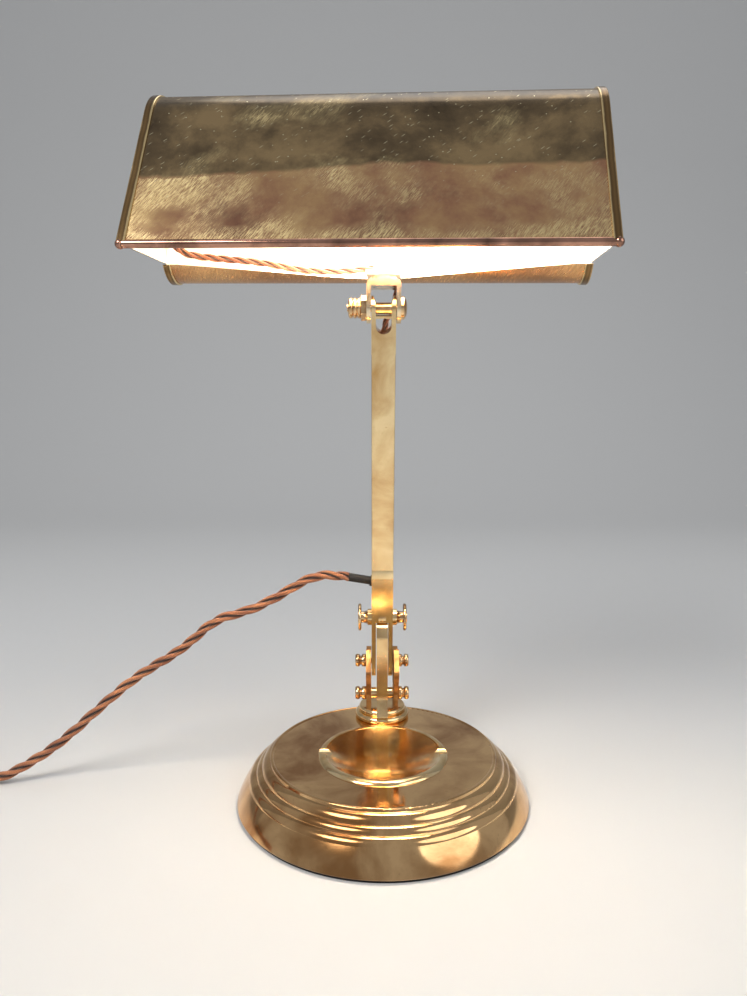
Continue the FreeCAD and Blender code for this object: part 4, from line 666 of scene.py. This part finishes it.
class LAMP_OT_stage(bpy.types.Operator):
    """Set up the floor, the backdrop, the lights and the camera"""

    bl_idname = "lamp.stage"
    bl_label = "Stage"

    def execute(self, context):
        scene = context.scene
        profile = [(PAPER_FRONT, 0.0), (PAPER_BEND_START, 0.0)]
        for i in range(1, PAPER_BEND_STEPS + 1):
            turn = math.pi / 2 * i / PAPER_BEND_STEPS
            profile.append((PAPER_BEND_START + PAPER_BEND_RADIUS * math.sin(turn),
                            PAPER_BEND_RADIUS * (1 - math.cos(turn))))
        profile.append((PAPER_BEND_START + PAPER_BEND_RADIUS, PAPER_TOP))
        body = bmesh.new()
        verts = [body.verts.new((-PAPER_HALF_WIDTH, y, z)) for y, z in profile]
        edges = [body.edges.new(pair) for pair in zip(verts, verts[1:])]
        made = bmesh.ops.extrude_edge_only(body, edges=edges)
        moved = [v for v in made["geom"] if isinstance(v, bmesh.types.BMVert)]
        bmesh.ops.translate(body, verts=moved, vec=(2 * PAPER_HALF_WIDTH, 0, 0))
        bmesh.ops.recalc_face_normals(body, faces=body.faces)
        for face in body.faces:
            face.smooth = True
        finish = studio_paper_finish(scene.lamp_colours.floor)
        new_object("studio_paper", body, finish)

        scene.world = bpy.data.worlds.new("Studio")
        scene.world.use_nodes = True
        tree = scene.world.node_tree
        tree.nodes.clear()
        back = add(tree, "ShaderNodeBackground", {
            "Color": linear(WORLD_COLOUR), "Strength": WORLD_STRENGTH})
        add(tree, "ShaderNodeOutputWorld", {"Surface": back.outputs["Background"]})

        for name, place, width, power in LIGHTS:
            light = bpy.data.lights.new(name, "AREA")
            light.shape = "DISK"
            light.size = width
            light.energy = power
            holder = bpy.data.objects.new(name, light)
            holder.location = place
            aim = LIGHT_AIM - Vector(place)
            holder.rotation_euler = aim.to_track_quat("-Z", "Y").to_euler()
            scene.collection.objects.link(holder)

        view = bpy.data.cameras.new("camera")
        view.sensor_width = SENSOR_MM
        view.lens = FOCAL_LENGTH_PIXELS / PHOTO_HEIGHT_PIXELS * SENSOR_MM
        view.clip_start = 10 * MM
        eye = bpy.data.objects.new("camera", view)
        eye.location = EYE
        eye.rotation_euler = (math.radians(90 - EYE_DIP_DEGREES), 0, 0)
        scene.collection.objects.link(eye)
        scene.camera = eye
        scene.view_settings.view_transform = "Standard"
        return {"FINISHED"}


class LAMP_OT_mains_flex(bpy.types.Operator):
    """Lay the twisted mains flex, its coil and its plug"""

    bl_idname = "lamp.mains_flex"
    bl_label = "Mains flex"

    def execute(self, context):
        total = 2 * coil_layer_turns + coil_climb_turns
        steps = round(total * coil_turn_points)
        points = cord_route + [coil_point(total * i / steps) for i in range(steps + 1)]
        points.append(points[-1] - Vector((coil_tail * MM, 0, 0)))
        path = even_points(spline_points(points))
        cotton = braided_cotton("Braided cotton flex, terracotta", "#935535", "#cb8558")
        flex = twisted_flex("mains_flex", path, cord_radius * MM,
                            context.scene.lamp_sizes.flex_lay, cotton)
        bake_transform(flex)
        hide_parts("mains_cord", "cord_coil")
        # moulded phenolic resin: near black, and evenly glossy
        bakelite = plain("Moulded phenolic plug, dark brown", "#2a1a12", 0.28, grain=90.0,
                         spread=0.15, lift=0.05, coat=0.2)
        dress(bakelite, "plug_cover", "plug_base", "plug_relief")
        return {"FINISHED"}


class LAMP_OT_inner_flex(bpy.types.Operator):
    """Run the flex through the stem, past the upper pivot and along the shade to the lampholder"""

    bl_idname = "lamp.inner_flex"
    bl_label = "Inner flex"

    def execute(self, context):
        cotton = braided_cotton("Braided cotton flex, inside", "#7f4630", "#b06a48")
        stem = twisted_flex("stem_flex", even_points(spline_points(stem_route)),
                            INNER_FLEX_RADIUS, INNER_FLEX_LAY, cotton)
        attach(stem, "stem")
        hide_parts("stem_lead")
        # the loop behind the stirrup is in two lengths
        loop = even_points(spline_points(tilt_route))
        change = round(TILT_FLEX_SHARE * len(loop))
        radius = TILT_FLEX_FIT * INNER_FLEX_RADIUS
        lower = twisted_flex("tilt_flex_lower", loop[:change + 1], radius, INNER_FLEX_LAY, cotton)
        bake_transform(lower)
        upper = twisted_flex("tilt_flex_upper", loop[change:], radius, INNER_FLEX_LAY, cotton,
                             travelled=change * FLEX_STEP)
        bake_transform(upper)
        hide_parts("tilt_lead")
        holder = twisted_flex("holder_flex", even_points(spline_points(holder_route)),
                              INNER_FLEX_RADIUS, INNER_FLEX_LAY, cotton)
        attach(holder, "shade")
        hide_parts("holder_lead")
        return {"FINISHED"}


class LAMP_OT_base(bpy.types.Operator):
    """Finish the base, its tray, its weight and its felt"""

    bl_idname = "lamp.base"
    bl_label = "Base"

    def execute(self, context):
        dress(polished_brass("Polished turned brass, base", "#a97a4c", "#eec38c",
                             clean=0.5, shine=0.06, cloud=26.0), "base_shell")
        dress(polished_brass("Polished spun brass, tray", "#dab074", "#f6dcab",
                             clean=0.5, shine=0.09, cloud=60.0), "tray")
        # cast iron: dark grey, with a rough skin of 8 mm lumps
        dress(plain("Rough cast iron", "#2b2b2c", 0.7, metallic=0.9, grain=120.0,
                    spread=0.25, lift=0.5), "base_weight")
        # zinc plate: a cool grey metal without a shine
        dress(plain("Dull zinc plated steel", "#8f9190", 0.38, metallic=1.0, grain=400.0,
                    spread=0.12, lift=0.1),
              "base_cover", "cover_screws", "tray_nut", "foot_stud", "foot_nut")
        # pressed wool: black and quite matt, with a fine nap
        dress(plain("Pressed wool felt, black", "#141414", 0.95, grain=1500.0, spread=0.5,
                    lift=0.8), "base_felt")
        return {"FINISHED"}


class LAMP_OT_stand(bpy.types.Operator):
    """Finish the foot, the elbow, the stem and the stirrup"""

    bl_idname = "lamp.stand"
    bl_label = "Stand"

    def execute(self, context):
        dress(polished_brass("Hand polished cast brass, stand", "#c79f68", "#f5dcaa",
                             clean=0.6, shine=0.13, cloud=40.0),
              "stem_fork", "stem_tube", "stem_head")
        dress(polished_brass("Hand polished cast brass, foot", "#bd8f59", "#f2d09a",
                             clean=0.6, shine=0.13, cloud=40.0), "foot_casting")
        dress(polished_brass("Hand polished brass, stirrup", "#dcbd88", "#fbebcb",
                             clean=0.7, shine=0.16, cloud=60.0), "stirrup", "swivel_washer")
        dress(polished_brass("Turned brass, fittings", "#a97a4e", "#f0cd9c",
                             clean=0.6, shine=0.08, cloud=90.0),
              "cheek_bolt", "cheek_spacers", "cheek_nuts", "elbow_bolt", "elbow_thumb_nut",
              "slot_studs", "slot_nut_left", "slot_nut_right", "tilt_spacer", "tilt_bolt",
              "tilt_nut", "tilt_thumb_nut", "plug_pins")
        dress(polished_brass("Browned plate brass, cheeks", "#8a6340", "#c4965f",
                             clean=0.5, shine=0.5, cloud=90.0),
              "cheek_plate_left", "cheek_plate_right")
        # rubber: soft black, with a worn, dusty skin
        dress(plain("Black rubber bush", "#16120f", 0.6, grain=500.0, spread=0.3, lift=0.3),
              "cord_bush", "cord_sleeve")
        return {"FINISHED"}


class LAMP_OT_shade(bpy.types.Operator):
    """Finish the shade, its bands and its ends"""

    bl_idname = "lamp.shade"
    bl_label = "Shade"

    def execute(self, context):
        dress(shade_brass(), "shade_shell")
        dress(end_brass(), "end_plates")
        dress(band_brass(), "end_wraps")
        dress(polished_brass("Polished brass rod, browned", "#664a3e", "#c0917b",
                             clean=0.6, shine=0.10, cloud=60.0), "front_rod")
        # stoved enamel: a smooth, slightly wavy white gloss. On the swivel screw, whose head is
        # under the stirrup outside the shade, the white stands for glare from the lit shade: a
        # painted highlight
        dress(plain("White stoved enamel", "#f6f1e6", 0.3, grain=250.0, spread=0.02, lift=0.05),
              "shade_bridge", "bridge_screws", "holder_bracket", "swivel_screw", "swivel_nut")
        dress(polished_brass("Dulled brass rivets", "#7d6240", "#c39c64",
                             clean=0.5, shine=0.2, cloud=90.0), "bracket_rivets")
        return {"FINISHED"}


class LAMP_OT_lamp(bpy.types.Operator):
    """Finish the lampholder, its switch and the lit lamp"""

    bl_idname = "lamp.lamp"
    bl_label = "Lamp"

    def execute(self, context):
        glow = context.scene.lamp_sizes.bulb_glow
        dress(polished_brass("Spun brass lampholder", "#8f6a35", "#cfa863",
                             clean=0.6, shine=0.16, cloud=34.0),
              "holder_entry", "holder_cap", "holder_body", "holder_ring", "contact_plungers",
              "bulb_cap")
        # glazed porcelain: creamy white under a clear gloss
        dress(plain("Glazed porcelain", "#e9e4d8", 0.2, grain=80.0, spread=0.04, lift=0.05),
              "holder_insert")
        # moulded phenolic resin: dark brown, and evenly glossy
        dress(plain("Moulded phenolic switch bar, brown", "#3a2116", 0.3, grain=200.0,
                    spread=0.15, lift=0.05), "switch_bar")
        dress(glowing("Pearl lamp glass, lit", "#fff0da", glow), "bulb_glass")
        dress(glowing("Lit filament", "#ffb060", glow), "bulb_filament")
        return {"FINISHED"}


class LAMP_PT_panel(bpy.types.Panel):
    """Lists the lamp's pieces, sizes and colours"""

    bl_label = "Bankers Lamp"
    bl_idname = "LAMP_PT_panel"
    bl_space_type = "VIEW_3D"
    bl_region_type = "UI"
    bl_category = "Lamp"

    def draw(self, context):
        for piece in PIECES:
            self.layout.operator(piece.bl_idname)
        sizes = context.scene.lamp_sizes
        self.layout.prop(sizes, "flex_lay")
        self.layout.prop(sizes, "bulb_glow")
        self.layout.prop(context.scene.lamp_colours, "floor")


PIECES = (LAMP_OT_stage, LAMP_OT_mains_flex, LAMP_OT_inner_flex, LAMP_OT_base, LAMP_OT_stand,
          LAMP_OT_shade, LAMP_OT_lamp)
CLASSES = (LampSizes, LampColours, *PIECES, LAMP_PT_panel)


def register():
    for made in CLASSES:
        bpy.utils.register_class(made)
    bpy.types.Scene.lamp_sizes = bpy.props.PointerProperty(type=LampSizes)
    bpy.types.Scene.lamp_colours = bpy.props.PointerProperty(type=LampColours)


def unregister():
    del bpy.types.Scene.lamp_colours
    del bpy.types.Scene.lamp_sizes
    for made in reversed(CLASSES):
        bpy.utils.unregister_class(made)


def main():
    register()
    for piece in PIECES:
        group, name = piece.bl_idname.split(".")
        getattr(getattr(bpy.ops, group), name)()


if __name__ == "__main__":
    main()
